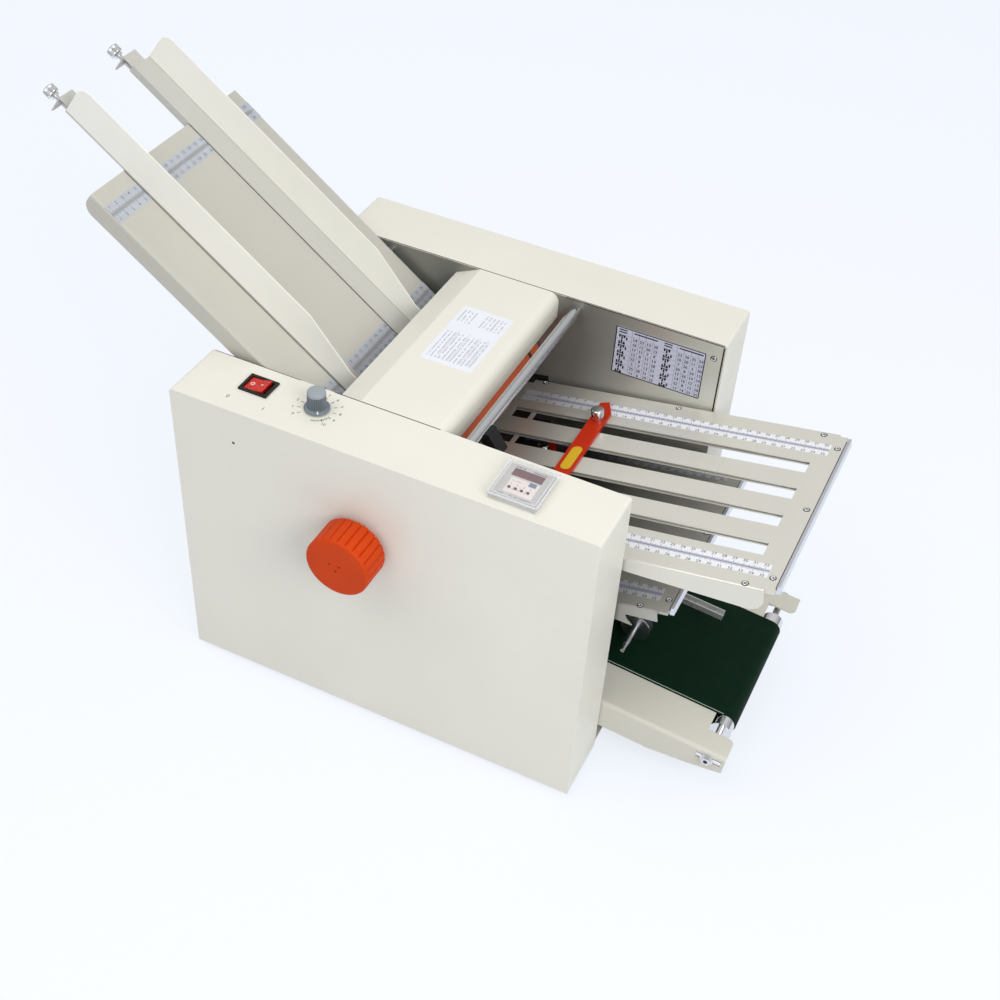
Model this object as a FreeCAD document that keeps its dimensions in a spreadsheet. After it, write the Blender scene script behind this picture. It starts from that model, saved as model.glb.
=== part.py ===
import FreeCAD, Part
import math
import os
import Sketcher
from FreeCAD import Placement, Rotation, Vector

# Paper folding machine. Millimetres, +X from the feed tray to the conveyor, +Y away from the
# control side, +Z up. Positions in the sheets are counted from the feed end, the control side
# and the bench; the centre offsets bring the origin under the middle of the whole machine.

doc = FreeCAD.newDocument("paper_folding_machine")

# ---- driving dimensions ----------------------------------------------------------------------
drivingSizes = {
    "housing_length": 440, "housing_depth": 71.4, "housing_height": 346.9, "overall_width": 398.7,
    "foot_height": 7, "foot_radius": 12, "foot_inset": 34,
    "cover_sheet": 1.2, "cover_corner": 3.5, "side_plate": 2, "fitting_gap": 0.2, "pan_sheet": 1.5,
    "pan_wall_top": 300,
    "hood_edge_x": 136, "hood_edge_drop": 13.4, "hood_bend_x": 164.5, "hood_front_x": 255.3,
    "hood_lip": 31.4, "hood_front_radius": 11, "hood_bend_radius": 5, "hood_sheet": 1.2,
    "hood_side_gap": 0.3,
    "tie_bar_x": 273.5, "tie_bar_drop": 11.2, "tie_bar_radius": 6, "cross_rod_radius": 5,
    "sensor_inset": 26.5, "sensor_width": 16,
    "tray_end_x": 151.37418, "tray_end_z": 282.75411, "tray_tilt": 35.86, "tray_length": 342,
    "tray_near_gap": 4.6, "tray_far_gap": 6.3, "tray_sheet": 1.5, "tray_flange": 21,
    "tray_corner": 12, "tray_rod_spacing": 75, "tray_rod_back": 37, "tray_rod_drop": 7,
    "separator_width": 40, "separator_length": 16, "separator_depth": 12,
    "guide_wall_offset": 56.1, "guide_far_wall_offset": 65.3, "guide_foot": 27, "guide_height": 39.5,
    "guide_low_height": 23, "guide_start": -76, "guide_back": 37, "guide_taper": 66,
    "guide_taper_back": 17, "guide_sheet": 1.2, "guide_lift": 0.3, "guide_corner": 12,
    "channel_start": -90, "channel_width": 20, "channel_depth": 20, "channel_wall": 7, "channel_opening": 13,
    "screw_head_start": -108, "screw_head_length": 12, "screw_head_radius": 7,
    "screw_shank_radius": 2.5, "screw_shank": 36, "screw_collar": 4, "screw_drop": 12.5,
    "roller_one_x": 201.5, "roller_one_z": 249, "roller_radius": 16.5, "roller_pitch": 33.3,
    "journal_radius": 6, "running_gap": 0.05, "roller_side_gap": 3,
    "upper_roller_angle": 48, "first_nip_tilt": 6, "second_nip_tilt": 31, "third_nip_tilt": 13,
    "exit_nip_tilt": 15, "tooth_count": 22, "gear_width": 8, "gear_offset": 6.7,
    "bearing_radius": 9.5, "bearing_reach": 5, "bearing_lip": 1.5,
    "feed_roller_radius": 24, "feed_roller_back": 2, "feed_nip_gap": 0.4,
    "belt_layer": 56, "feed_belt_layer": 44, "pulley_width": 8, "belt_thickness": 2,
    "small_pulley": 10, "large_pulley": 20, "knob_pulley": 12,
    "motor_x": 95, "motor_z": 105, "motor_radius": 29, "motor_length": 74, "motor_flange": 70,
    "motor_plate": 5, "motor_shaft": 4,
    "chute_gap": 1.4, "guide_plate": 1.2, "chute_length": 55,
    "knob_radius": 33, "knob_reach": 41, "knob_body": 35, "knob_corner": 1.6, "knob_grooves": 24,
    "knob_groove_width": 2.4, "knob_groove_depth": 1.6, "knob_groove_start": 4, "knob_hub": 13,
    "upper_plate_x": 246.9, "upper_plate_z": 240.3, "upper_plate_tilt": 9.88,
    "upper_plate_start": -14.5, "upper_plate_end": 337, "upper_flange": 26,
    "upper_flange_start": -8, "upper_flange_end": 328, "upper_cross_piece": 12,
    "upper_slot_start": -7, "upper_slot_end": 313, "upper_stop_place": 88,
    "shallow_flange": 14, "flange_taper": 185,
    "lower_plate_x": 232.3, "lower_plate_z": 175.6, "lower_plate_tilt": 10.9,
    "lower_plate_start": 9, "lower_plate_end": 260.5, "lower_flange": 25.6, "lower_flange_end": 250.5,
    "lower_flange_start": 52, "lower_cross_piece": 28, "cross_piece_width": 5,
    "lower_slot_start": 20, "lower_slot_end": 240, "lower_stop_place": 46,
    "plate_near_gap": 4.6, "plate_far_gap": 3.3, "plate_sheet": 1.2, "paper_gap": 2.2,
    "plate_bend": 2.4, "plate_notch": 6.5, "slot_width": 18, "slot_pitch": 43.3, "slot_first": 60.1,
    "end_bar_width": 4.2, "end_bar_depth": 8, "end_bar_inset": 8, "end_bar_gap": 1.2,
    "stop_width": 18, "stop_sheet": 3, "stop_lift": 0.4, "stop_pin": 2.5,
    "stop_knob_radius": 7, "stop_knob_height": 13,
    "conveyor_x": 442.8, "conveyor_z": 73.4, "conveyor_tilt": 5.5, "rail_start": -262,
    "rail_end": 133.4, "rail_web": 51, "rail_flange": 36, "rail_sheet": 1.5, "rail_gap": 1.6,
    "rail_bend": 4, "belt_sheet": 1, "belt_roller_radius": 11.5, "belt_rise": 2.4,
    "belt_width": 148, "outer_axis": 115.3, "inner_axis": -236, "belt_journal": 4,
    "rail_cut_start": 104.8, "rail_cut_width": 27, "rail_corner": 6,
    "press_axis": -7.6, "press_radius": 15.9, "press_shaft": 3, "press_gap": 0.3,
    "press_bar_start": -112, "press_bar_far_end": 68,
    "press_bar_width": 9, "press_bar_low": 10, "press_bar_step": 19, "press_bar_high": 26,
    "press_rod": -105, "press_rod_rise": 17.2,
    "switch_x": 71, "switch_y": 43.5, "bezel_length": 30.4, "bezel_width": 25, "bezel_rise": 2,
    "bezel_rim": 3, "switch_depth": 20, "rocker_gap": 0.3, "rocker_tilt": 9,
    "rocker_pivot": 4, "rocker_slack": 1.5,
    "speed_x": 135.5, "speed_y": 41.5, "speed_skirt": 12.5, "speed_grip": 9.2, "speed_height": 22,
    "speed_stem": 3, "speed_bush": 4.5,
    "counter_x": 350.5, "counter_y": 34, "counter_length": 45, "counter_width": 48,
    "counter_rise": 4, "counter_depth": 36, "lid_length": 49, "lid_width": 52, "lid_height": 8,
    "lid_sheet": 1.2, "key_radius": 1.4, "key_rise": 1, "key_depth": 2.2,
    "inlet_y": 36, "inlet_z": 60,
}

# ---- places worked out from them -------------------------------------------------------------
derivedPlaces = {
    "top": "dims.foot_height + dims.housing_height",
    "inner_near": "dims.housing_depth",
    "inner_far": "dims.overall_width - dims.housing_depth",
    "middle": "dims.overall_width / 2",
    "tray_edge_x": "dims.tray_end_x - dims.tray_length * cos(dims.tray_tilt)",
    "tray_edge_z": "dims.tray_end_z + dims.tray_length * sin(dims.tray_tilt)",
    "tray_rod_low": "dims.tray_length - dims.tray_rod_back",
    "tray_rod_high": "places.tray_rod_low - dims.tray_rod_spacing",
    "feed_roller_down": "dims.tray_length - dims.feed_roller_back",
    "guide_end": "dims.tray_length - dims.guide_back",
    "guide_taper_end": "places.guide_end - dims.guide_taper_back",
    "guide_taper_start": "places.guide_taper_end - dims.guide_taper",
    "pan_top": "dims.foot_height + dims.pan_sheet",
    "hood_tilt": "atan(dims.hood_edge_drop / (dims.hood_bend_x - dims.hood_edge_x))",
    "roller_two_x": "dims.roller_one_x + dims.roller_pitch * sin(dims.first_nip_tilt)",
    "roller_two_z": "dims.roller_one_z - dims.roller_pitch * cos(dims.first_nip_tilt)",
    "roller_three_x": "places.roller_two_x + dims.roller_pitch * sin(dims.second_nip_tilt)",
    "roller_three_z": "places.roller_two_z - dims.roller_pitch * cos(dims.second_nip_tilt)",
    "roller_four_x": "places.roller_three_x + dims.roller_pitch * sin(dims.third_nip_tilt)",
    "roller_four_z": "places.roller_three_z - dims.roller_pitch * cos(dims.third_nip_tilt)",
    "roller_five_x": "places.roller_four_x + dims.roller_pitch * cos(dims.exit_nip_tilt)",
    "roller_five_z": "places.roller_four_z - dims.roller_pitch * sin(dims.exit_nip_tilt)",
    "upper_roller_x": "dims.roller_one_x + dims.roller_pitch * cos(dims.upper_roller_angle)",
    "upper_roller_z": "dims.roller_one_z + dims.roller_pitch * sin(dims.upper_roller_angle)",
    "feed_rise": "dims.feed_roller_radius + dims.feed_nip_gap",
    "feed_x": "places.tray_edge_x + places.feed_roller_down * cos(dims.tray_tilt)"
              " + places.feed_rise * sin(dims.tray_tilt)",
    "feed_z": "places.tray_edge_z - places.feed_roller_down * sin(dims.tray_tilt)"
              " + places.feed_rise * cos(dims.tray_tilt)",
    "belt_outer_radius": "dims.belt_roller_radius + dims.running_gap + dims.belt_sheet",
    "belt_axis_drop": "places.belt_outer_radius - dims.belt_rise",
    "press_rise": "dims.belt_rise + dims.press_gap + dims.press_radius",
    "inner_belt_x": "dims.conveyor_x + dims.inner_axis * cos(dims.conveyor_tilt)"
                    " - places.belt_axis_drop * sin(dims.conveyor_tilt)",
    "inner_belt_z": "dims.conveyor_z - dims.inner_axis * sin(dims.conveyor_tilt)"
                    " - places.belt_axis_drop * cos(dims.conveyor_tilt)",
    "tray_near": "places.inner_near + dims.tray_near_gap",
    "tray_far": "places.inner_far - dims.tray_far_gap",
    "plate_near": "places.inner_near + dims.plate_near_gap",
    "plate_far": "places.inner_far - dims.plate_far_gap",
    "rail_near": "places.inner_near + dims.rail_gap",
    "roller_near": "places.inner_near + dims.roller_side_gap",
    "roller_far": "places.inner_far - dims.roller_side_gap",
    "gear_near": "places.inner_far + dims.gear_offset",
    "screw_rise": "-dims.screw_drop",
    "reach_low": "places.tray_edge_x + dims.screw_head_start * cos(dims.tray_tilt)"
                 " - (dims.screw_drop + dims.screw_head_radius) * sin(dims.tray_tilt)",
    "reach_high": "dims.upper_plate_x"
                  " + (dims.upper_plate_end + dims.end_bar_width) * cos(dims.upper_plate_tilt)"
                  " + dims.end_bar_depth * sin(dims.upper_plate_tilt)",
    "centre_x": "(places.reach_low + places.reach_high) / 2",
    "centre_y": "(dims.overall_width - dims.knob_reach) / 2",
}


def fillSheet(name, cells):
    sheet = doc.addObject("Spreadsheet::Sheet", name)
    for row, (alias, content) in enumerate(cells.items(), start=1):
        sheet.set("A%d" % row, alias)
        sheet.set("B%d" % row, str(content))
        sheet.setAlias("B%d" % row, alias)
    return sheet


dims = fillSheet("dims", drivingSizes)
doc.recompute()
places = fillSheet("places", {name: "=" + text.replace("places.", "") for name, text in derivedPlaces.items()})
doc.recompute()

nodes = []


# ---- ways of building ------------------------------------------------------------------------
def tie(target, **sizes):
    # each named size follows its expression; a double underscore stands for a dot
    for name, text in sizes.items():
        target.setExpression(name.replace("__", "."), text)


def seat(target, x="0", y="0", z="0", tilt=None, turn=None):
    # place in the machine: tilt turns about Y, downhill toward +X when positive
    if tilt:
        target.Placement = Placement(Vector(), Rotation(Vector(0, 1, 0), 1))
        target.setExpression("Placement.Rotation.Angle", tilt)
    if turn:
        target.Placement = Placement(Vector(), turn)
    tie(target, Placement__Base__x="%s - places.centre_x" % x,
        Placement__Base__y="%s - places.centre_y" % y, Placement__Base__z=z)


def originOf(body, role):
    return [item for item in body.Origin.OriginFeatures if item.Role == role][0]


def newBody(label, x="0", y="0", z="0", tilt=None, turn=None):
    body = doc.addObject("PartDesign::Body", label)
    body.Label = label
    seat(body, x, y, z, tilt, turn)
    return body


def outline(body, name, role, corners, height=None):
    # closed straight-sided sketch, every corner held by two dimensions from the origin
    sketch = body.newObject("Sketcher::SketchObject", name)
    sketch.AttachmentSupport = [(originOf(body, role), "")]
    sketch.MapMode = "FlatFace"
    if height:
        sketch.setExpression("AttachmentOffset.Base.z", height)
    count = len(corners)
    start = [Vector(10 * math.cos(2 * math.pi * i / count), 10 * math.sin(2 * math.pi * i / count), 0)
             for i in range(count)]
    sketch.addGeometry([Part.LineSegment(start[i], start[(i + 1) % count]) for i in range(count)], False)
    sketch.addConstraint([Sketcher.Constraint("Coincident", i, 2, (i + 1) % count, 1) for i in range(count)])
    for i in range(count):
        across = sketch.addConstraint(Sketcher.Constraint("DistanceX", -1, 1, i, 1, start[i].x))
        sketch.setExpression("Constraints[%d]" % across, corners[i][0])
        along = sketch.addConstraint(Sketcher.Constraint("DistanceY", -1, 1, i, 1, start[i].y))
        sketch.setExpression("Constraints[%d]" % along, corners[i][1])
    return sketch


def grow(body, name, role, corners, low, high):
    # pad between two heights along the plane's axis
    shift = "-(%s)" % high if role == "XZ_Plane" else low
    sketch = outline(body, name + "_outline", role, corners, shift)
    feature = body.newObject("PartDesign::Pad", name)
    feature.Profile = sketch
    feature.setExpression("Length", "(%s) - (%s)" % (high, low))
    return feature


def cut(body, name, role, corners, low, high):
    # pocket between two heights along the plane's axis
    shift = "-(%s)" % low if role == "XZ_Plane" else high
    sketch = outline(body, name + "_outline", role, corners, shift)
    feature = body.newObject("PartDesign::Pocket", name)
    feature.Profile = sketch
    feature.setExpression("Length", "(%s) - (%s)" % (high, low))
    return feature


def rectangle(left, low, right, high):
    return [(left, low), (right, low), (right, high), (left, high)]


def block(body, name, kind, x, y, z):
    # box given by its low and high edge on each axis
    feature = body.newObject("PartDesign::%sBox" % kind, name)
    tie(feature, Length="(%s) - (%s)" % (x[1], x[0]), Width="(%s) - (%s)" % (y[1], y[0]),
        Height="(%s) - (%s)" % (z[1], z[0]), Placement__Base__x=x[0], Placement__Base__y=y[0],
        Placement__Base__z=z[0])
    return feature


def hexagon(x, z, radius):
    return [("(%s) + (%s) * cos(%d)" % (x, radius, angle), "(%s) + (%s) * sin(%d)" % (z, radius, angle))
            for angle in range(0, 360, 60)]


alongAxis = {"x": Rotation(Vector(0, 1, 0), 90), "y": Rotation(Vector(1, 0, 0), -90), "z": Rotation()}


def rod(body, name, kind, axis, place, radius, length):
    # cylinder starting at a place and running along a positive axis
    feature = body.newObject("PartDesign::%sCylinder" % kind, name)
    feature.Placement = Placement(Vector(), alongAxis[axis])
    tie(feature, Radius=radius, Height=length, Placement__Base__x=place[0],
        Placement__Base__y=place[1], Placement__Base__z=place[2])
    return feature


def turned(body, name, steps):
    # solid of revolution about Y from (y, radius) steps
    corners = [("0", steps[0][0])]
    for i, (y, radius) in enumerate(steps[:-1]):
        corners.append((radius, y))
        corners.append((radius, steps[i + 1][0]))
    corners.append(("0", steps[-1][0]))
    return revolved(body, name, corners)


def revolved(body, name, corners):
    sketch = outline(body, name + "_profile", "XY_Plane", corners)
    feature = body.newObject("PartDesign::Revolution", name)
    feature.Profile = sketch
    feature.ReferenceAxis = (sketch, ["V_Axis"])
    feature.Angle = 360
    return feature


def roundEdges(body, name, radius, wanted):
    # fillet of the edges that the test picks from the body as it stands
    doc.recompute()
    base = body.Tip
    picked = ["Edge%d" % number for number, edge in enumerate(base.Shape.Edges, start=1) if wanted(edge)]
    feature = body.newObject("PartDesign::Fillet", name)
    feature.Base = (base, picked)
    feature.setExpression("Radius", radius)
    return feature


def runsAlong(edge, axis):
    box = edge.BoundBox
    lengths = {"x": box.XLength, "y": box.YLength, "z": box.ZLength}
    long = lengths.pop(axis)
    return long > 0.01 and max(lengths.values()) < 0.001


def near(value, target):
    return abs(value - target) < 0.02


def group(label, members):
    bundle = doc.addObject("Part::Compound", label)
    bundle.Label = label
    bundle.Links = members
    return bundle


def keep(node):
    nodes.append(node)
    return node


# ---- housings --------------------------------------------------------------------------------
def roundedBlock(body, sheet, low, radius):
    # block whose outer side and top have rounded edges, shrunk on all of them by a sheet thickness
    grow(body, "block", "XZ_Plane",
         rectangle(sheet, low, "dims.housing_length - %s" % sheet, "places.top - %s" % sheet),
         sheet, "dims.housing_depth + %s" % sheet)
    doc.recompute()
    top = body.Shape.BoundBox.ZMax
    face = body.Shape.BoundBox.YMin

    def bent(edge):
        box = edge.BoundBox
        onFace = near(box.YMax, face) and box.ZMax > top / 2
        return onFace or (runsAlong(edge, "y") and near(box.ZMin, top))

    roundEdges(body, "bends", radius, bent)


def coverShell(label, x, y, turn=None):
    # folded sheet cover: outer face at local Y 0, open inward and below
    body = newBody(label, x=x, y=y, turn=turn)
    roundedBlock(body, "0", "dims.foot_height", "dims.cover_corner")
    hollow = doc.addObject("PartDesign::Body", label + "_hollow")
    roundedBlock(hollow, "dims.cover_sheet", "0", "dims.cover_corner - dims.cover_sheet")
    shell = body.newObject("PartDesign::Boolean", "shell")
    shell.Type = "Cut"
    shell.setObjects([hollow])
    return body


nearCover = keep(coverShell("near_cover", "0", "0"))
farCover = keep(coverShell("far_cover", "dims.housing_length", "dims.overall_width", Rotation(Vector(0, 0, 1), 180)))

rod(nearCover, "knob_shaft_hole", "Subtractive", "y", ("dims.roller_one_x", "-1", "dims.roller_one_z"),
    "dims.journal_radius + 2", "4")
block(nearCover, "switch_hole", "Subtractive",
      ("dims.switch_x - dims.bezel_length / 2 + 2", "dims.switch_x + dims.bezel_length / 2 - 2"),
      ("dims.switch_y - dims.bezel_width / 2 + 2", "dims.switch_y + dims.bezel_width / 2 - 2"),
      ("places.top - 5", "places.top + 1"))
rod(nearCover, "speed_hole", "Subtractive", "z", ("dims.speed_x", "dims.speed_y", "places.top - 5"),
    "dims.speed_bush + dims.fitting_gap", "6")
block(nearCover, "counter_hole", "Subtractive",
      ("dims.counter_x - dims.counter_length / 2 + 1", "dims.counter_x + dims.counter_length / 2 - 1"),
      ("dims.counter_y - dims.counter_width / 2 + 3", "dims.counter_y + dims.counter_width / 2 - 3"),
      ("places.top - 5", "places.top + 1"))
block(nearCover, "inlet_hole", "Subtractive", ("-1", "3"), ("dims.inlet_y - 14", "dims.inlet_y + 14"),
      ("dims.inlet_z - 11", "dims.inlet_z + 11"))

shaftPlaces = {
    "upper": ("places.upper_roller_x", "places.upper_roller_z"),
    "one": ("dims.roller_one_x", "dims.roller_one_z"),
    "two": ("places.roller_two_x", "places.roller_two_z"),
    "three": ("places.roller_three_x", "places.roller_three_z"),
    "four": ("places.roller_four_x", "places.roller_four_z"),
    "five": ("places.roller_five_x", "places.roller_five_z"),
    "feed": ("places.feed_x", "places.feed_z"),
}


def sidePlate(label, low, high):
    body = newBody(label)
    left = "dims.cover_sheet + dims.fitting_gap"
    right = "dims.housing_length - dims.cover_sheet - dims.fitting_gap"
    grow(body, "sheet", "XZ_Plane",
         rectangle(left, "places.pan_top", right, "places.top - dims.cover_sheet - dims.fitting_gap"), low, high)
    roundEdges(body, "corners", "dims.cover_corner",
               lambda edge: runsAlong(edge, "y") and edge.BoundBox.ZMin > places.get("top") / 2)
    for name, (x, z) in shaftPlaces.items():
        cut(body, name + "_bearing_hole", "XZ_Plane", hexagon(x, z, "dims.bearing_radius + dims.running_gap"),
            low + " - 1", high + " + 1")
    return body


nearPlate = keep(sidePlate("near_side_plate", "places.inner_near - dims.side_plate", "places.inner_near"))
rod(nearPlate, "motor_shaft_hole", "Subtractive", "y",
    ("dims.motor_x", "places.inner_near - dims.side_plate - 1", "dims.motor_z"), "dims.motor_shaft + 3", "4")
rod(nearPlate, "belt_roller_hole", "Subtractive", "y",
    ("places.inner_belt_x", "places.inner_near - dims.side_plate - 1", "places.inner_belt_z"),
    "dims.belt_journal + 2", "4")
keep(sidePlate("far_side_plate", "places.inner_far", "places.inner_far + dims.side_plate"))

pan = keep(newBody("base_pan"))
edge = "dims.cover_sheet + dims.fitting_gap"
block(pan, "floor", "Additive", (edge, "dims.housing_length - " + edge.replace(" + ", " - ")),
      (edge, "dims.overall_width - " + edge.replace(" + ", " - ")), ("dims.foot_height", "places.pan_top"))
roundEdges(pan, "floor_corners", "dims.cover_corner", lambda edge: runsAlong(edge, "z"))
block(pan, "feed_end_wall", "Additive", (edge, edge + " + dims.pan_sheet"),
      ("places.inner_near", "places.inner_far"), ("dims.foot_height", "dims.pan_wall_top"))

feet = []
for i, (x, y) in enumerate((("dims.foot_inset", "dims.foot_inset"),
                            ("dims.housing_length - dims.foot_inset", "dims.foot_inset"),
                            ("dims.foot_inset", "dims.overall_width - dims.foot_inset"),
                            ("dims.housing_length - dims.foot_inset", "dims.overall_width - dims.foot_inset"))):
    foot = doc.addObject("Part::Cone", "foot_%d" % (i + 1))
    tie(foot, Radius1="dims.foot_radius - 1.5", Radius2="dims.foot_radius", Height="dims.foot_height")
    seat(foot, x, y, "0")
    feet.append(foot)
keep(group("rubber_feet", feet))

# ---- hood, tie bar and cross rods ------------------------------------------------------------
hood = keep(newBody("hood"))
hoodOutline = [
    ("dims.hood_edge_x", "places.top - dims.hood_edge_drop"),
    ("dims.hood_bend_x", "places.top"),
    ("dims.hood_front_x", "places.top"),
    ("dims.hood_front_x", "places.top - dims.hood_lip"),
    ("dims.hood_front_x - dims.hood_sheet", "places.top - dims.hood_lip"),
    ("dims.hood_front_x - dims.hood_sheet", "places.top - dims.hood_sheet"),
    ("dims.hood_bend_x + dims.hood_sheet * tan(places.hood_tilt / 2)", "places.top - dims.hood_sheet"),
    ("dims.hood_edge_x + dims.hood_sheet * sin(places.hood_tilt)",
     "places.top - dims.hood_edge_drop - dims.hood_sheet * cos(places.hood_tilt)"),
]
grow(hood, "bent_sheet", "XZ_Plane", hoodOutline, "places.inner_near + dims.hood_side_gap",
     "places.inner_far - dims.hood_side_gap")


def hoodBend(x, z):
    return lambda edge: runsAlong(edge, "y") and near(edge.BoundBox.XMin, x) and near(edge.BoundBox.ZMin, z)


hoodTop = places.get("top")
hoodSheet = dims.get("hood_sheet")
roundEdges(hood, "front_bend", "dims.hood_front_radius", hoodBend(dims.get("hood_front_x"), hoodTop))
roundEdges(hood, "front_bend_inside", "dims.hood_front_radius - dims.hood_sheet",
           hoodBend(dims.get("hood_front_x") - hoodSheet, hoodTop - hoodSheet))
roundEdges(hood, "facet_bend", "dims.hood_bend_radius", hoodBend(dims.get("hood_bend_x"), hoodTop))


def crossBar(label, x, z, radius):
    bar = doc.addObject("Part::Cylinder", label)
    tie(bar, Radius=radius, Height="places.inner_far - places.inner_near")
    seat(bar, x, "places.inner_near", z, turn=alongAxis["y"])
    return bar


def onTray(down, rise):
    x = "places.tray_edge_x + (%s) * cos(dims.tray_tilt) + (%s) * sin(dims.tray_tilt)" % (down, rise)
    z = "places.tray_edge_z - (%s) * sin(dims.tray_tilt) + (%s) * cos(dims.tray_tilt)" % (down, rise)
    return x, z


def onConveyor(out, rise):
    x = "dims.conveyor_x + (%s) * cos(dims.conveyor_tilt) + (%s) * sin(dims.conveyor_tilt)" % (out, rise)
    z = "dims.conveyor_z - (%s) * sin(dims.conveyor_tilt) + (%s) * cos(dims.conveyor_tilt)" % (out, rise)
    return x, z


tieBar = keep(crossBar("tie_bar", "dims.tie_bar_x", "places.top - dims.tie_bar_drop", "dims.tie_bar_radius"))
tieBar.Label = "tie_bar"
keep(group("cross_rods", [
    crossBar("tray_rod_high", *onTray("places.tray_rod_high", "-dims.tray_rod_drop"), "dims.cross_rod_radius"),
    crossBar("tray_rod_low", *onTray("places.tray_rod_low", "-dims.tray_rod_drop"), "dims.cross_rod_radius"),
    crossBar("press_rod", *onConveyor("dims.press_rod", "dims.press_rod_rise"), "dims.cross_rod_radius"),
]))

# black sheet sensor seated under the tie bar beside the near housing
sensor = keep(newBody("sheet_sensor", "dims.tie_bar_x", "places.inner_near + dims.sensor_inset",
                      "places.top - dims.tie_bar_drop"))
grow(sensor, "arm", "XZ_Plane", [("-1", "-9"), ("4", "-9"), ("20", "-26"), ("26", "-20"), ("12", "0"), ("-1", "0")],
     "0", "dims.sensor_width")
rod(sensor, "bar_seat", "Subtractive", "y", ("0", "-1", "0"), "dims.tie_bar_radius + dims.running_gap",
    "dims.sensor_width + 2")

# ---- feed tray -------------------------------------------------------------------------------
tray = keep(newBody("feed_tray", "places.tray_edge_x", "0", "places.tray_edge_z", tilt="dims.tray_tilt"))


def channelDown(nearEdge, farEdge, depth, sheet):
    # section of a sheet with both sides bent down
    inNear = "%s + %s" % (nearEdge, sheet)
    inFar = "%s - %s" % (farEdge, sheet)
    low = "-" + depth
    return [(nearEdge, low), (inNear, low), (inNear, "-" + sheet), (inFar, "-" + sheet), (inFar, low),
            (farEdge, low), (farEdge, "0"), (nearEdge, "0")]


def topBend(edge):
    return runsAlong(edge, "x") and near(edge.BoundBox.ZMin, 0)


def insideBend(sheet):
    return lambda edge: runsAlong(edge, "x") and near(edge.BoundBox.ZMin, -sheet)


grow(tray, "bent_sheet", "YZ_Plane",
     channelDown("places.tray_near", "places.tray_far", "dims.tray_flange", "dims.tray_sheet"),
     "0", "dims.tray_length")
roundEdges(tray, "side_bends", "dims.tray_sheet * 2", topBend)
roundEdges(tray, "side_bends_inside", "dims.tray_sheet", insideBend(dims.get("tray_sheet")))
roundEdges(tray, "flange_corners", "dims.tray_corner",
           lambda edge: runsAlong(edge, "y") and near(edge.BoundBox.XMin, 0)
           and near(edge.BoundBox.ZMin, -dims.get("tray_flange")))
for name, down in (("rod_holes_high", "places.tray_rod_high"), ("rod_holes_low", "places.tray_rod_low")):
    rod(tray, name, "Subtractive", "y", (down, "places.tray_near - 1", "-dims.tray_rod_drop"),
        "dims.cross_rod_radius + 0.2", "places.tray_far - places.tray_near + 2")
separatorEnd = "dims.tray_length"
separatorStart = "dims.tray_length - dims.separator_length"
separatorSides = ("places.middle - dims.separator_width / 2", "places.middle + dims.separator_width / 2")
block(tray, "separator_notch", "Subtractive", (separatorStart, separatorEnd + " + 1"), separatorSides,
      ("-dims.tray_sheet - 1", "1"))

separator = keep(newBody("separator_block", "places.tray_edge_x", "0", "places.tray_edge_z", tilt="dims.tray_tilt"))
block(separator, "pad", "Additive", (separatorStart, separatorEnd), separatorSides, ("-dims.separator_depth", "0"))


# ---- curved paper guides between the rollers -------------------------------------------------
def curvedGuide(label, centre, start, end):
    # part of a ring round a roller, from one angle to another, spanning the side plates
    body = newBody(label, centre[0], "places.inner_near", centre[1])
    width = "places.inner_far - places.inner_near"
    inside = "dims.roller_radius + dims.chute_gap"
    rod(body, "ring", "Additive", "y", ("0", "0", "0"), inside + " + dims.guide_plate", width)
    rod(body, "ring_bore", "Subtractive", "y", ("0", "-1", "0"), inside, width + " + 2")
    cut(body, "ring_gap", "XZ_Plane",
        [("0", "0"), ("60 * cos(%s)" % start, "60 * sin(%s)" % start), ("-60", "60"), ("60", "60"),
         ("60", "-60"), ("60 * cos(%s)" % end, "60 * sin(%s)" % end)], "-1", width + " + 1")
    return body


chute = keep(curvedGuide("paper_chute", shaftPlaces["one"], "220", "250"))
chuteInside = "(dims.roller_radius + dims.chute_gap)"
chuteOutside = "(dims.roller_radius + dims.chute_gap + dims.guide_plate)"
grow(chute, "slope", "XZ_Plane",
     [("%s * cos(220)" % chuteInside, "%s * sin(220)" % chuteInside),
      ("%s * cos(220) + dims.chute_length * cos(130)" % chuteInside,
       "%s * sin(220) + dims.chute_length * sin(130)" % chuteInside),
      ("%s * cos(220) + dims.chute_length * cos(130)" % chuteOutside,
       "%s * sin(220) + dims.chute_length * sin(130)" % chuteOutside),
      ("%s * cos(220)" % chuteOutside, "%s * sin(220)" % chuteOutside)],
     "0", "places.inner_far - places.inner_near")
keep(curvedGuide("inner_deflector", shaftPlaces["three"], "150", "250"))

# ---- bearings --------------------------------------------------------------------------------
bushes = []
for name, (x, z) in shaftPlaces.items():
    for side in ("near", "far"):
        bush = newBody("%s_%s_bush" % (name, side), x, "0", z)
        if side == "near":
            low, high = "places.inner_near - dims.bearing_reach", "places.inner_near + dims.bearing_lip"
        else:
            low, high = "places.inner_far - dims.bearing_lip", "places.inner_far + dims.bearing_reach"
        grow(bush, "barrel", "XZ_Plane", hexagon("0", "0", "dims.bearing_radius"), low, high)
        rod(bush, "bore", "Subtractive", "y", ("0", low + " - 1", "0"), "dims.journal_radius + dims.running_gap",
            "dims.bearing_reach + dims.bearing_lip + 2")
        bushes.append(bush)
keep(group("shaft_bearings", bushes))


# ---- rollers with their gears ----------------------------------------------------------------
pitchRadius = "dims.roller_pitch / 2"
module = "dims.roller_pitch / dims.tooth_count"
rootRadius = "(%s - 1.15 * %s)" % (pitchRadius, module)
tipRadius = "(%s + 0.8 * %s)" % (pitchRadius, module)


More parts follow.
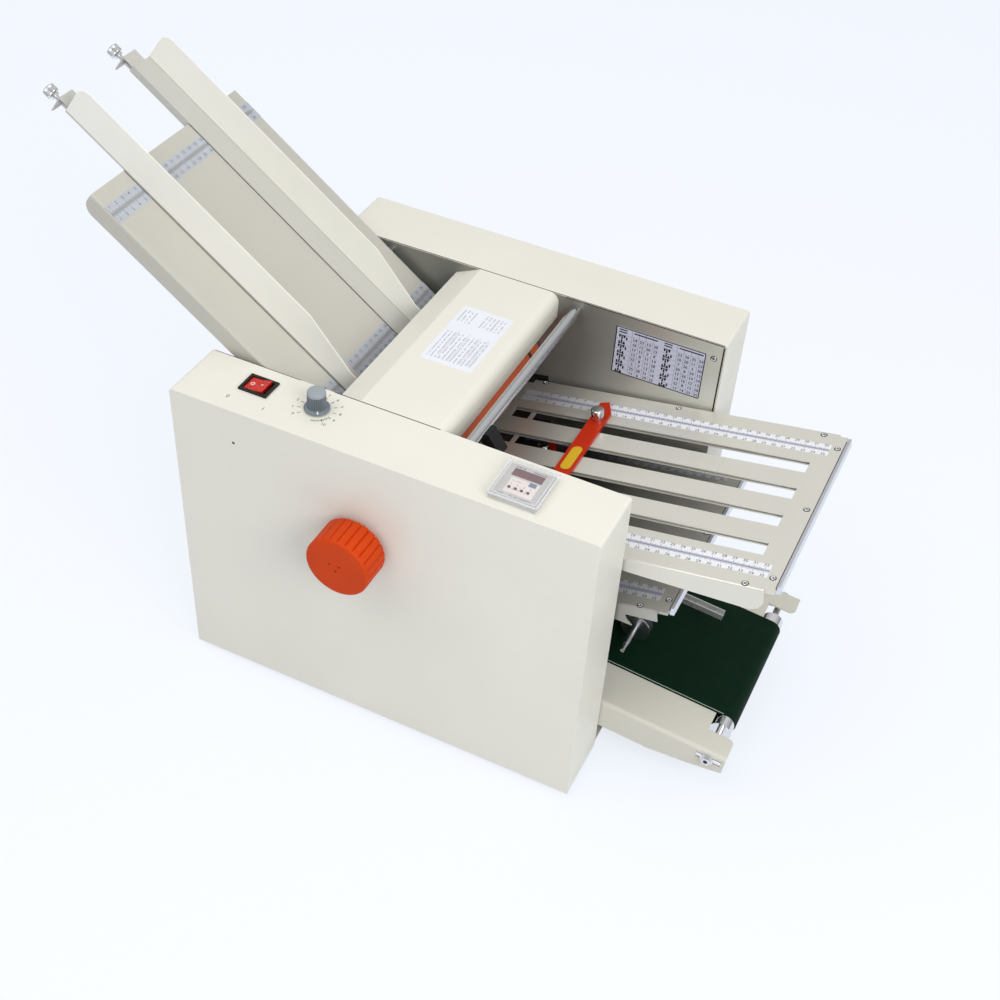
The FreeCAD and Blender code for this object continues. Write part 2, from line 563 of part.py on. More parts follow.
def foldRoller(label, place, phase, nearSteps):
    # sleeve between the side plates, journals, and a spur gear beyond the far plate
    body = newBody(label, place[0], "0", place[1])
    steps = nearSteps + [
        ("places.roller_near", "dims.roller_radius"),
        ("places.roller_far", "dims.journal_radius"),
        ("places.gear_near", rootRadius),
        ("places.gear_near + dims.gear_width", "dims.journal_radius"),
        ("places.gear_near + dims.gear_width + 3", None),
    ]
    turned(body, "shaft", steps)
    tooth = grow(body, "tooth", "XZ_Plane",
                 [("-0.118 * dims.roller_pitch / 2", rootRadius + " - 1"),
                  ("0.118 * dims.roller_pitch / 2", rootRadius + " - 1"),
                  ("0.033 * dims.roller_pitch / 2", tipRadius), ("-0.033 * dims.roller_pitch / 2", tipRadius)],
                 "places.gear_near", "places.gear_near + dims.gear_width")
    pattern = body.newObject("PartDesign::PolarPattern", "teeth")
    pattern.Originals = [tooth]
    pattern.Axis = (originOf(body, "Y_Axis"), [""])
    pattern.Angle = 360
    pattern.setExpression("Occurrences", "dims.tooth_count")
    body.Tip = pattern
    body.Placement = Placement(Vector(), Rotation(Vector(0, 1, 0), 1))
    body.setExpression("Placement.Rotation.Angle", phase)
    return body


plainEnd = [("places.inner_near - dims.bearing_reach - 1", "dims.journal_radius")]


def pulleyEnd(layer, radius, shaftEnd="2"):
    return [("%s - %s" % (layer, shaftEnd), "dims.journal_radius"), (layer, radius),
            (layer + " + dims.pulley_width", "dims.journal_radius")]


# A tooth of one gear stands in a gap of the next. With the tooth angle of a gear taken at the
# line of centres, the two angles add up to half a tooth.
toothAngle = "(360 / dims.tooth_count)"
phaseOne = "0"
phaseUpper = "2 * (90 - dims.upper_roller_angle) + 180 + %s / 2" % toothAngle
phaseTwo = "2 * (180 - dims.first_nip_tilt) + 180 + %s / 2" % toothAngle
phaseThree = "2 * (180 - dims.second_nip_tilt) + 180 + %s / 2 - (%s)" % (toothAngle, phaseTwo)
phaseFour = "2 * (180 - dims.third_nip_tilt) + 180 + %s / 2 - (%s)" % (toothAngle, phaseThree)
phaseFive = "2 * (90 + dims.exit_nip_tilt) + 180 + %s / 2 - (%s)" % (toothAngle, phaseFour)

keep(foldRoller("upper_roller", shaftPlaces["upper"], phaseUpper, plainEnd))
knobShaft = [("-dims.knob_reach / 2", "dims.journal_radius"), ("dims.feed_belt_layer", "dims.knob_pulley"),
             ("dims.feed_belt_layer + dims.pulley_width", "dims.journal_radius")]
keep(foldRoller("fold_roller_1", shaftPlaces["one"], phaseOne, knobShaft))
keep(foldRoller("fold_roller_2", shaftPlaces["two"], phaseTwo, pulleyEnd("dims.belt_layer", "dims.large_pulley")))
keep(foldRoller("fold_roller_3", shaftPlaces["three"], phaseThree, plainEnd))
keep(foldRoller("fold_roller_4", shaftPlaces["four"], phaseFour, pulleyEnd("dims.belt_layer", "dims.small_pulley")))
keep(foldRoller("fold_roller_5", shaftPlaces["five"], phaseFive, plainEnd))

feedRoller = keep(newBody("feed_roller", "places.feed_x", "0", "places.feed_z"))
turned(feedRoller, "shaft", pulleyEnd("dims.feed_belt_layer", "dims.large_pulley") + [
    ("places.middle - 45", "dims.feed_roller_radius"), ("places.middle + 45", "dims.journal_radius"),
    ("places.inner_far + dims.bearing_reach + 1", None)])

# ---- hand knob -------------------------------------------------------------------------------
knob = keep(newBody("hand_knob", "dims.roller_one_x", "0", "dims.roller_one_z"))
knobFace = "-dims.knob_reach"
knobBack = "dims.knob_body - dims.knob_reach"
revolved(knob, "grip", [
    ("0", knobFace), ("dims.knob_radius - dims.knob_corner", knobFace),
    ("dims.knob_radius", knobFace + " + dims.knob_corner"), ("dims.knob_radius", knobBack),
    ("dims.knob_hub", knobBack), ("dims.knob_hub", "-0.6"), ("0", "-0.6")])
groove = cut(knob, "groove", "XZ_Plane",
             [("-dims.knob_groove_width / 2", "dims.knob_radius + 0.5"),
              ("0", "dims.knob_radius - dims.knob_groove_depth"),
              ("dims.knob_groove_width / 2", "dims.knob_radius + 0.5")],
             knobFace + " + dims.knob_groove_start", knobBack + " + 1")
grooves = knob.newObject("PartDesign::PolarPattern", "grooves")
grooves.Originals = [groove]
grooves.Axis = (originOf(knob, "Y_Axis"), [""])
grooves.Angle = 360
grooves.setExpression("Occurrences", "dims.knob_grooves")
knob.Tip = grooves
rod(knob, "bore", "Subtractive", "y", ("0", "-dims.knob_reach / 2 - 0.5", "0"),
    "dims.journal_radius + dims.running_gap", "dims.knob_reach")

# ---- motor, pulley and belts -----------------------------------------------------------------
motor = keep(newBody("motor", "dims.motor_x", "places.inner_near", "dims.motor_z"))
half = "dims.motor_flange / 2"
block(motor, "mounting_plate", "Additive", ("-" + half, half), ("0", "dims.motor_plate"), ("-" + half, half))
rod(motor, "can", "Additive", "y", ("0", "0", "0"), "dims.motor_radius", "dims.motor_length")
rod(motor, "shaft_bore", "Subtractive", "y", ("0", "-1", "0"), "dims.motor_shaft + dims.running_gap", "22")
motorPulley = keep(newBody("motor_pulley", "dims.motor_x", "0", "dims.motor_z"))
turned(motorPulley, "shaft", [("dims.belt_layer - 2", "dims.motor_shaft"), ("dims.belt_layer", "dims.small_pulley"),
                              ("dims.belt_layer + dims.pulley_width", "dims.motor_shaft"),
                              ("places.inner_near + 20", None)])


def loopBelt(label, place, first, second, low, high, thickness, tilt=None):
    # belt round two pulleys, each given as (x, z, radius) in the belt's own plane
    body = newBody(label, place[0], "0", place[1], tilt=tilt)
    width = "(%s) - (%s)" % (high, low)
    spanX = "((%s) - (%s))" % (second[0], first[0])
    spanZ = "((%s) - (%s))" % (second[1], first[1])
    span = "sqrt(%s * %s + %s * %s)" % (spanX, spanX, spanZ, spanZ)
    aim = "atan2(%s; %s)" % (spanZ, spanX)
    lean = "acos(((%s) - (%s)) / %s)" % (first[2], second[2], span)

    def tangents(extra):
        corners = []
        for (x, z, radius), sign in ((first, "+"), (second, "+"), (second, "-"), (first, "-")):
            reach = "((%s) + %s)" % (radius, extra)
            angle = "(%s %s %s)" % (aim, sign, lean)
            corners.append(("(%s) + %s * cos(%s)" % (x, reach, angle), "(%s) + %s * sin(%s)" % (z, reach, angle)))
        return corners

    outer = "dims.running_gap + " + thickness
    for name, (x, z, radius) in (("first", first), ("second", second)):
        rod(body, name + "_wrap", "Additive", "y", (x, low, z), "(%s) + %s" % (radius, outer), width)
    # the straight runs join the two wraps into one solid
    grow(body, "runs", "XZ_Plane", tangents("(%s)" % outer), low, high)
    for name, (x, z, radius) in (("first", first), ("second", second)):
        rod(body, name + "_inside", "Subtractive", "y", (x, low + " - 1", z), "(%s) + dims.running_gap" % radius,
            width + " + 2")
    cut(body, "runs_inside", "XZ_Plane", tangents("dims.running_gap"), low + " - 1", high + " + 1")
    return body


layerA = ("dims.belt_layer", "dims.belt_layer + dims.pulley_width")
layerB = ("dims.feed_belt_layer", "dims.feed_belt_layer + dims.pulley_width")
keep(group("drive_belts", [
    loopBelt("main_belt", ("dims.motor_x", "dims.motor_z"), ("0", "0", "dims.small_pulley"),
             ("places.roller_two_x - dims.motor_x", "places.roller_two_z - dims.motor_z", "dims.large_pulley"),
             *layerA, "dims.belt_thickness"),
    loopBelt("feed_belt", shaftPlaces["one"], ("0", "0", "dims.knob_pulley"),
             ("places.feed_x - dims.roller_one_x", "places.feed_z - dims.roller_one_z", "dims.large_pulley"),
             *layerB, "dims.belt_thickness"),
    loopBelt("outlet_belt", shaftPlaces["four"], ("0", "0", "dims.small_pulley"),
             ("places.inner_belt_x - places.roller_four_x", "places.inner_belt_z - places.roller_four_z",
              "dims.small_pulley"), *layerA, "dims.belt_thickness"),
]))


# ---- side guides on the tray -----------------------------------------------------------------
def sideGuide(label, wall, toward):
    # wall square to the tray, foot on the tray toward the middle, channel hooked over the tray edge
    body = newBody(label, "places.tray_edge_x", wall, "places.tray_edge_z", tilt="dims.tray_tilt")
    low = "dims.guide_lift"
    high = "dims.guide_lift + dims.guide_height"
    inner = ("0", "dims.guide_sheet") if toward > 0 else ("-dims.guide_sheet", "0")
    foot = ("0", "dims.guide_foot") if toward > 0 else ("-dims.guide_foot", "0")
    grow(body, "wall", "XZ_Plane",
         [("dims.guide_start", low), ("places.guide_end", low), ("places.guide_end", low + " + dims.guide_low_height"),
          ("places.guide_taper_end", low + " + dims.guide_low_height"), ("places.guide_taper_start", high),
          ("dims.guide_start", high)], *inner)
    roundEdges(body, "wall_corner", "dims.guide_corner",
               lambda edge: runsAlong(edge, "y") and near(edge.BoundBox.XMin, dims.get("guide_start"))
               and edge.BoundBox.ZMin > dims.get("guide_height") / 2)
    block(body, "foot", "Additive", ("dims.guide_start", "places.guide_end"), foot,
          (low, low + " + dims.guide_sheet"))
    if toward > 0:
        web = ("dims.guide_foot - dims.channel_width", "dims.guide_foot")
        hook = ("dims.guide_foot - dims.guide_sheet", "dims.guide_foot")
    else:
        web = ("-dims.guide_foot", "-dims.guide_foot + dims.channel_width")
        hook = ("-dims.guide_foot", "-dims.guide_foot + dims.guide_sheet")
    edgeGap = "-dims.guide_lift"
    block(body, "channel_web", "Additive", ("dims.channel_start", edgeGap), web, (low + " - dims.guide_sheet", low))
    block(body, "channel_wall", "Additive", ("dims.channel_start + dims.channel_opening", edgeGap), hook,
          ("-dims.channel_wall", low))
    block(body, "channel_end", "Additive", ("dims.channel_start", "dims.channel_start + dims.guide_sheet"), web,
          ("-dims.channel_depth", low))
    middle = "(%s + %s) / 2" % web
    rod(body, "screw_hole", "Subtractive", "x", ("dims.channel_start - 1", middle, "places.screw_rise"),
        "dims.screw_shank_radius + dims.running_gap", "4")
    return body, middle


def guideScrew(label, wall, middle):
    # knurled thumb screw along the slope, through the channel's end
    body = newBody(label, "places.tray_edge_x", wall, "places.tray_edge_z", tilt="dims.tray_tilt")
    start = "dims.screw_head_start"
    rod(body, "head", "Additive", "x", (start, middle, "places.screw_rise"), "dims.screw_head_radius",
        "dims.screw_head_length")
    rod(body, "shank", "Additive", "x", (start + " + 1", middle, "places.screw_rise"), "dims.screw_shank_radius",
        "dims.screw_head_length + dims.screw_shank")
    rod(body, "collar", "Additive", "x", ("dims.channel_start + dims.guide_sheet + 0.1", middle, "places.screw_rise"),
        "dims.screw_collar", "2")
    return body


nearWall = "places.inner_near + dims.guide_wall_offset"
farWall = "places.inner_far - dims.guide_far_wall_offset"
nearGuide, nearMiddle = sideGuide("near_guide", nearWall, 1)
farGuide, farMiddle = sideGuide("far_guide", farWall, -1)
keep(nearGuide)
keep(farGuide)
keep(guideScrew("near_guide_screw", nearWall, nearMiddle))
keep(guideScrew("far_guide_screw", farWall, farMiddle))


# ---- fold plates -----------------------------------------------------------------------------
def slots(body, start, end, low):
    # four long slots, one cut and patterned across the plate
    first = "places.inner_near + dims.slot_first"
    slot = cut(body, "slot", "XY_Plane",
               rectangle(start, first + " - dims.slot_width / 2", end, first + " + dims.slot_width / 2"), low, "1")
    pattern = body.newObject("PartDesign::LinearPattern", "slots")
    pattern.Originals = [slot]
    pattern.Direction = (originOf(body, "Y_Axis"), [""])
    pattern.Occurrences = 4
    pattern.setExpression("Length", "3 * dims.slot_pitch")
    body.Tip = pattern
    return pattern


def plateFrame(name):
    return "dims.%s_plate_x" % name, "0", "dims.%s_plate_z" % name


def partOf(name):
    # sizes of one fold plate by their short names
    return lambda part: "dims.%s_%s" % (name, part)


def flangeOutline(name):
    # what is cut from the bent sides, below the bend; the lower plate's has a slanted open slot
    size = partOf(name)
    start, end, deep = size("flange_start"), size("flange_end"), size("flange")
    if name == "upper":
        edge = [(start, "-dims.shallow_flange"), ("dims.flange_taper", "-dims.shallow_flange"),
                (end + " - 14", "-" + deep), (end + " - 5", "-%s + 3" % deep), (end, "-%s + 10" % deep)]
    else:
        edge = [(start, "-%s + 5" % deep), (end + " - 48", "-%s + 4.5" % deep), (end + " - 26.5", "-" + deep),
                (end + " - 32", "-%s + 7.5" % deep), (end + " - 33", "-%s + 11" % deep),
                (end + " - 31", "-%s + 13" % deep), (end, "-%s + 12.3" % deep)]
    top = "-dims.plate_bend - 1.1"
    return ([(size("plate_start") + " - 1", "-40"), (size("plate_start") + " - 1", top), (start, top)] + edge
            + [(end, top), (size("plate_end") + " + 1", top), (size("plate_end") + " + 1", "-40")])


def foldPlate(name):
    # upper sheet with bent sides; its upper surface is the local plane
    size = partOf(name)
    body = newBody(name + "_plate_top", *plateFrame(name), tilt="-" + size("plate_tilt"))
    grow(body, "bent_sheet", "YZ_Plane",
         channelDown("places.plate_near", "places.plate_far", size("flange"), "dims.plate_sheet"),
         size("plate_start"), size("plate_end"))
    roundEdges(body, "side_bends", "dims.plate_bend", topBend)
    roundEdges(body, "side_bends_inside", "dims.plate_bend - dims.plate_sheet", insideBend(dims.get("plate_sheet")))
    cut(body, "flange_edge", "XZ_Plane", flangeOutline(name), "0", "dims.overall_width")
    for side, edges in (("near", ("places.plate_near - 1", "places.plate_near + dims.plate_notch")),
                        ("far", ("places.plate_far - dims.plate_notch", "places.plate_far + 1"))):
        block(body, side + "_notch", "Subtractive", (size("flange_end") + " + 0.5", size("plate_end") + " + 1"),
              edges, ("-5", "1"))
    slots(body, size("slot_start"), size("slot_end"), "-dims.plate_sheet - 1")
    return body


def foldPlateBottom(name):
    # lower sheet, held one paper gap below by a strip along each side
    size = partOf(name)
    body = newBody(name + "_plate_bottom", *plateFrame(name), tilt="-" + size("plate_tilt"))
    top = "-dims.plate_sheet - dims.paper_gap"
    low = top + " - dims.plate_sheet"
    nearEdge = "places.plate_near + dims.plate_bend + 0.2"
    farEdge = "places.plate_far - dims.plate_bend - 0.2"
    start = size("plate_start") + " + 3"
    block(body, "sheet", "Additive", (start, size("plate_end")), (nearEdge, farEdge), (low, top))
    slots(body, size("slot_start"), size("slot_end"), low + " - 1")
    block(body, "near_strip", "Additive", (start, size("plate_end")), (nearEdge, nearEdge + " + 6"),
          (low, "-dims.plate_sheet"))
    block(body, "far_strip", "Additive", (start, size("plate_end")), (farEdge + " - 6", farEdge),
          (low, "-dims.plate_sheet"))
    block(body, "cross_piece", "Additive",
          (size("cross_piece"), size("cross_piece") + " + dims.cross_piece_width"), (nearEdge, farEdge), (low, top))
    return body


for name in ("upper", "lower"):
    keep(foldPlate(name))
    keep(foldPlateBottom(name))

endBars = []
for name in ("upper", "lower"):
    bar = newBody(name + "_end_bar", *plateFrame(name), tilt="-dims.%s_plate_tilt" % name)
    end = "dims.%s_plate_end" % name
    grow(bar, "bar", "XZ_Plane",
         [(end, "-dims.end_bar_depth"), (end + " + dims.end_bar_width", "-dims.end_bar_depth"),
          (end + " + dims.end_bar_width", "0.5"), (end + " + dims.end_bar_gap", "0.5"),
          (end + " + dims.end_bar_gap", "-dims.plate_sheet - dims.paper_gap"),
          (end, "-dims.plate_sheet - dims.paper_gap")],
         "places.plate_near + dims.end_bar_inset", "places.plate_far - dims.end_bar_inset + 2")
    endBars.append(bar)
keep(group("plate_end_bars", endBars))

# black corner blocks and side bosses that carry the fold plates between the side plates
supports = []
for name in ("upper", "lower"):
    tilt = "-dims.%s_plate_tilt" % name
    start = "dims.%s_plate_start" % name
    for side in ("near", "far"):
        corner = newBody("%s_%s_corner" % (name, side), *plateFrame(name), tilt=tilt)
        if side == "near":
            between, over = ("places.inner_near", "places.plate_near"), ("places.inner_near", "places.plate_near + 8")
        else:
            between, over = ("places.plate_far", "places.inner_far"), ("places.plate_far - 8", "places.inner_far")
        block(corner, "side", "Additive", (start, start + " + 20"), between, ("-12", "4"))
        block(corner, "lip", "Additive", (start, start + " + 7"), over, ("0", "4"))
        supports.append(corner)
        boss = newBody("%s_%s_boss" % (name, side), *plateFrame(name), tilt=tilt)
        rod(boss, "pin", "Additive", "y", (start + " + 150", between[0], "-10"), "5",
            "(%s) - (%s)" % (between[1], between[0]))
        supports.append(boss)
keep(group("plate_supports", supports))


# ---- paper stops -----------------------------------------------------------------------------
def paperStop(name):
    # strip across the plate with pins through the slots and a keeper strip below
    body = newBody(name + "_stop", *plateFrame(name), tilt="-dims.%s_plate_tilt" % name)
    place = "dims.%s_stop_place" % name
    low, high = place + " - dims.stop_width / 2", place + " + dims.stop_width / 2"
    nearEnd, farEnd = "places.plate_near + 18", "places.plate_far - 40"
    top = "dims.stop_lift + dims.stop_sheet"
    grow(body, "strip", "XY_Plane",
         [(low, nearEnd), (high, nearEnd), (high, farEnd), (place, farEnd + " + 18"), (low, farEnd + " + 14")],
         "dims.stop_lift", top)
    keeperTop = "-2 * dims.plate_sheet - dims.paper_gap - dims.stop_lift"
    first = "places.inner_near + dims.slot_first"
    for i in range(4):
        across = "%s + %d * dims.slot_pitch" % (first, i)
        block(body, "pin_%d" % (i + 1), "Additive", (place + " - dims.stop_pin", place + " + dims.stop_pin"),
              (across + " - dims.stop_pin", across + " + dims.stop_pin"),
              (keeperTop + " - 1", "dims.stop_lift + 0.5"))
    block(body, "keeper", "Additive", (place + " - 5", place + " + 5"),
          (first + " - 10", first + " + 3 * dims.slot_pitch + 10"), (keeperTop + " - 2", keeperTop))
    rod(body, "screw_hole", "Subtractive", "z", (place, "places.plate_far - 54", "-1"), "2.05", "6")
    return body


def stopKnob(name):
    body = newBody(name + "_stop_knob", *plateFrame(name), tilt="-dims.%s_plate_tilt" % name)
    place = "dims.%s_stop_place" % name
    top = "dims.stop_lift + dims.stop_sheet + 0.1"
    y = "places.plate_far - 54"
    rod(body, "grip", "Additive", "z", (place, y, top), "dims.stop_knob_radius", "dims.stop_knob_height")
    rod(body, "screw", "Additive", "z", (place, y, "0.2"), "2", top)
    return body


for name in ("upper", "lower"):
    keep(paperStop(name))
    keep(stopKnob(name))

# ---- conveyor --------------------------------------------------------------------------------
conveyorFrame = ("dims.conveyor_x", "0", "dims.conveyor_z")
rail = keep(newBody("near_rail", *conveyorFrame, tilt="dims.conveyor_tilt"))
railNear = "places.rail_near"
grow(rail, "bent_sheet", "YZ_Plane",
     [(railNear, "-dims.rail_flange"), (railNear + " + dims.rail_sheet", "-dims.rail_flange"),
      (railNear + " + dims.rail_sheet", "-dims.rail_sheet"), (railNear + " + dims.rail_web", "-dims.rail_sheet"),
      (railNear + " + dims.rail_web", "0"), (railNear, "0")], "dims.rail_start", "dims.rail_end")
railSheet = dims.get("rail_sheet")
roundEdges(rail, "bend", "dims.rail_bend",
           lambda edge: runsAlong(edge, "x") and near(edge.BoundBox.ZMin, 0)
           and near(edge.BoundBox.YMin, places.get("rail_near")))
roundEdges(rail, "bend_inside", "dims.rail_bend - dims.rail_sheet",
           lambda edge: runsAlong(edge, "x") and near(edge.BoundBox.ZMin, -railSheet)
           and near(edge.BoundBox.YMin, places.get("rail_near") + railSheet))
block(rail, "roller_cut", "Subtractive", ("dims.rail_cut_start", "dims.rail_end + 1"),
      (railNear + " + dims.rail_cut_width", railNear + " + dims.rail_web + 1"), ("-3", "1"))
railEnd = dims.get("rail_end")
roundEdges(rail, "end_corner", "dims.rail_corner",
           lambda edge: runsAlong(edge, "z") and near(edge.BoundBox.XMin, railEnd)
           and near(edge.BoundBox.YMin, places.get("rail_near") + dims.get("rail_cut_width")))
cut(rail, "outer_taper", "XZ_Plane",
    [("dims.rail_end - 78", "-60"), ("dims.rail_end + 1", "-60"), ("dims.rail_end + 1", "-22"),
     ("dims.rail_end - 34", "-29.5"), ("dims.rail_end - 78", "-dims.rail_flange")],
    railNear + " - 1", railNear + " + 10")
block(rail, "tension_slot", "Subtractive", ("dims.outer_axis - 11.6", "dims.outer_axis + 14.4"),
      (railNear + " - 1", railNear + " + 3"),
      ("-places.belt_axis_drop - 3", "-places.belt_axis_drop + 3"))
rod(rail, "inner_journal_hole", "Subtractive", "y", ("dims.inner_axis", railNear + " - 1", "-places.belt_axis_drop"),
    "dims.belt_journal + dims.running_gap", "4")
farRail = keep(doc.addObject("Part::Mirroring", "far_rail"))
farRail.Source = rail
farRail.Normal = Vector(0, 1, 0)
farRail.setExpression("Base.y", "places.middle - places.centre_y")

beltNear = "places.middle - dims.belt_width / 2"
beltFar = "places.middle + dims.belt_width / 2"
keep(loopBelt("conveyor_belt", (conveyorFrame[0], conveyorFrame[2]),
              ("dims.inner_axis", "-places.belt_axis_drop", "dims.belt_roller_radius"),
              ("dims.outer_axis", "-places.belt_axis_drop", "dims.belt_roller_radius"),
              beltNear, beltFar, "dims.belt_sheet", tilt="dims.conveyor_tilt"))

outerRoller = keep(newBody("outer_belt_roller", *[text for text in (
    onConveyor("dims.outer_axis", "-places.belt_axis_drop")[0], "0",
    onConveyor("dims.outer_axis", "-places.belt_axis_drop")[1])]))
turned(outerRoller, "shaft", [
    ("places.rail_near + dims.rail_sheet + 0.3", "dims.belt_journal"),
    ("places.rail_near + 39", "dims.belt_roller_radius"),
    ("dims.overall_width - places.rail_near - 39", "dims.belt_journal"),
    ("dims.overall_width - places.rail_near - dims.rail_sheet - 0.3", None)])
innerRoller = keep(newBody("inner_belt_roller", "places.inner_belt_x", "0", "places.inner_belt_z"))
turned(innerRoller, "shaft", [
    ("dims.belt_layer - 2", "dims.belt_journal"), ("dims.belt_layer", "dims.small_pulley"),
    ("dims.belt_layer + dims.pulley_width", "dims.belt_journal"), (beltNear, "dims.belt_roller_radius"),
    (beltFar, "dims.belt_journal"), ("dims.overall_width - places.rail_near - 0.2", None)])

# spacers between the rails and the side plates, and the tension bolts at the outer axle
bolts = []
for i, out in enumerate(("-200", "-60")):
    for side in ("near", "far"):
        spacer = newBody("%s_spacer_%d" % (side, i + 1), *conveyorFrame, tilt="dims.conveyor_tilt")
        y = "places.inner_near" if side == "near" else "places.inner_far - dims.rail_gap"
        rod(spacer, "disc", "Additive", "y", (out, y, "-18"), "7", "dims.rail_gap")
        bolts.append(spacer)
for side in ("near", "far"):
    bolt = newBody(side + "_tension_bolt", *conveyorFrame, tilt="dims.conveyor_tilt")
    z = "-places.belt_axis_drop"
    if side == "near":
        spans = (("washer", "7", "places.rail_near - 1.5", "1.5"), ("head", "5", "places.rail_near - 5", "4"),
                 ("shank", "2.5", "places.rail_near - 1", "2.4"))
    else:
        face = "dims.overall_width - places.rail_near"
        spans = (("washer", "7", face, "1.5"), ("head", "5", face + " + 1", "4"), ("shank", "2.5", face + " - 1.4", "2.4"))
    for part, radius, start, length in spans:
        if part == "head":
            grow(bolt, part, "XZ_Plane", hexagon("dims.outer_axis", z, radius), start, "%s + %s" % (start, length))
        else:
            rod(bolt, part, "Additive", "y", ("dims.outer_axis", start, z), radius, length)
    bolts.append(bolt)
keep(group("rail_bolts", bolts))


def pressBar(name, low, end):
    # channel open upward, deep as far as the press wheels' shaft and shallow beyond it
    body = newBody(name, *conveyorFrame, tilt="dims.conveyor_tilt")
    high = low + " + dims.press_bar_width"
    step = "dims.press_axis + 8"
    spans = [("deep", "dims.press_bar_start", step, "dims.press_bar_low")]
    if end:
        spans.append(("shallow", step, end, "dims.press_bar_step"))
    for part, start, stop, floor in spans:
        block(body, part + "_bar", "Additive", (start, stop), (low, high), (floor, "dims.press_bar_high"))
    for part, start, stop, floor in spans:
        block(body, part + "_trough", "Subtractive", (start + " - 1", stop + " + 1"),
              (low + " + dims.plate_sheet", high + " - dims.plate_sheet"),
              (("dims.press_bar_step" if end else floor) + " + dims.plate_sheet", "dims.press_bar_high + 1"))
    rod(body, "rod_hole", "Subtractive", "y", ("dims.press_rod", low + " - 1", "dims.press_rod_rise"),
        "dims.cross_rod_radius + dims.running_gap", "dims.press_bar_width + 2")
    rod(body, "shaft_hole", "Subtractive", "y", ("dims.press_axis", low + " - 1", "places.press_rise"),
        "dims.press_shaft + dims.running_gap", "dims.press_bar_width + 2")
    return body


keep(group("press_bars", [pressBar("near_press_bar", "places.middle - 14", None),
                          pressBar("far_press_bar", "places.middle + 27.7", "dims.press_bar_far_end")]))
pressX, pressZ = onConveyor("dims.press_axis", "places.press_rise")
pressWheels = keep(newBody("press_wheels", pressX, "0", pressZ))
turned(pressWheels, "shaft", [
    ("places.middle - 69", "2.2"), ("places.middle - 58", "dims.press_shaft"),
    ("places.middle - 33", "dims.press_radius"), ("places.middle - 22", "dims.press_shaft"),
    ("places.middle + 43", "dims.press_radius"), ("places.middle + 54", "dims.press_shaft"),
    ("places.middle + 58", None)])

# ---- controls on the near housing ------------------------------------------------------------
bezel = keep(newBody("switch_bezel", "dims.switch_x", "dims.switch_y", "places.top"))
halfLong, halfWide = "dims.bezel_length / 2", "dims.bezel_width / 2"
block(bezel, "rim", "Additive", ("-" + halfLong, halfLong), ("-" + halfWide, halfWide), ("0", "dims.bezel_rise"))
block(bezel, "case", "Additive", ("-%s + 2.2" % halfLong, halfLong + " - 2.2"),
      ("-%s + 2.2" % halfWide, halfWide + " - 2.2"), ("-dims.switch_depth", "0"))
rockerLong = halfLong + " - dims.bezel_rim"
rockerWide = halfWide + " - dims.bezel_rim"
block(bezel, "window", "Subtractive", ("-" + rockerLong.replace(" - ", " + "), rockerLong),
      ("-" + rockerWide.replace(" - ", " + "), rockerWide), ("-dims.switch_depth + 3", "dims.bezel_rise + 1"))
rocker = keep(newBody("rocker", "dims.switch_x", "dims.switch_y", "places.top - dims.rocker_pivot",
                      tilt="-dims.rocker_tilt"))
rockerReach = "(dims.bezel_length / 2 - dims.bezel_rim - dims.rocker_slack)"
grow(rocker, "key", "XZ_Plane",
     [("-0.6 * " + rockerReach, "-dims.rocker_pivot - 1"), ("0.6 * " + rockerReach, "-dims.rocker_pivot - 1"),
      (rockerReach, "dims.rocker_pivot + 2.5"), ("0", "dims.rocker_pivot + 1.5"),
      ("-" + rockerReach, "dims.rocker_pivot + 2.5")],
     "-dims.bezel_width / 2 + dims.bezel_rim + dims.rocker_gap",
     "dims.bezel_width / 2 - dims.bezel_rim - dims.rocker_gap")

control = keep(newBody("speed_control", "dims.speed_x", "dims.speed_y", "places.top"))
block(control, "case", "Additive", ("-10", "10"), ("-10", "10"), ("-dims.cover_sheet - 14", "-dims.cover_sheet"))
rod(control, "bush", "Additive", "z", ("0", "0", "-dims.cover_sheet - 1"), "dims.speed_bush",
    "dims.cover_sheet + 2.2")
rod(control, "bore", "Subtractive", "z", ("0", "0", "-10"), "dims.speed_stem + dims.running_gap", "20")
speedKnob = keep(newBody("speed_knob", "dims.speed_x", "dims.speed_y", "places.top"))
rod(speedKnob, "skirt", "Additive", "z", ("0", "0", "1.6"), "dims.speed_skirt", "2.4")
rod(speedKnob, "grip", "Additive", "z", ("0", "0", "2"), "dims.speed_grip", "dims.speed_height - 2")
rod(speedKnob, "stem", "Additive", "z", ("0", "0", "-8"), "dims.speed_stem", "12")

counter = keep(newBody("counter_body", "dims.counter_x", "dims.counter_y", "places.top"))
counterLong, counterWide = "dims.counter_length / 2", "dims.counter_width / 2"
block(counter, "face", "Additive", ("-" + counterLong, counterLong), ("-" + counterWide, counterWide),
      ("0", "dims.counter_rise"))
block(counter, "case", "Additive", ("-%s + 1.2" % counterLong, counterLong + " - 1.2"),
      ("-%s + 3.2" % counterWide, counterWide + " - 3.2"), ("-dims.counter_depth", "0"))
keyPlaces = [("%g" % x, "%g" % y) for x, y in ((-10.9, -7.1), (-4.7, -7.1), (1.3, -7.1), (7.5, -7.1))]
for i, (x, y) in enumerate(keyPlaces):
    rod(counter, "key_well_%d" % (i + 1), "Subtractive", "z", (x, y, "dims.counter_rise - dims.key_depth - 1"),
        "dims.key_radius + dims.running_gap", "6")
resetX, resetY = ("4", "10.5"), ("1.5", "6")
gap = " - dims.running_gap"
block(counter, "reset_well", "Subtractive", (resetX[0] + gap, resetX[1] + gap.replace("-", "+")),
      (resetY[0] + gap, resetY[1] + gap.replace("-", "+")),
      ("dims.counter_rise - dims.key_depth - 1", "dims.counter_rise + 1"))
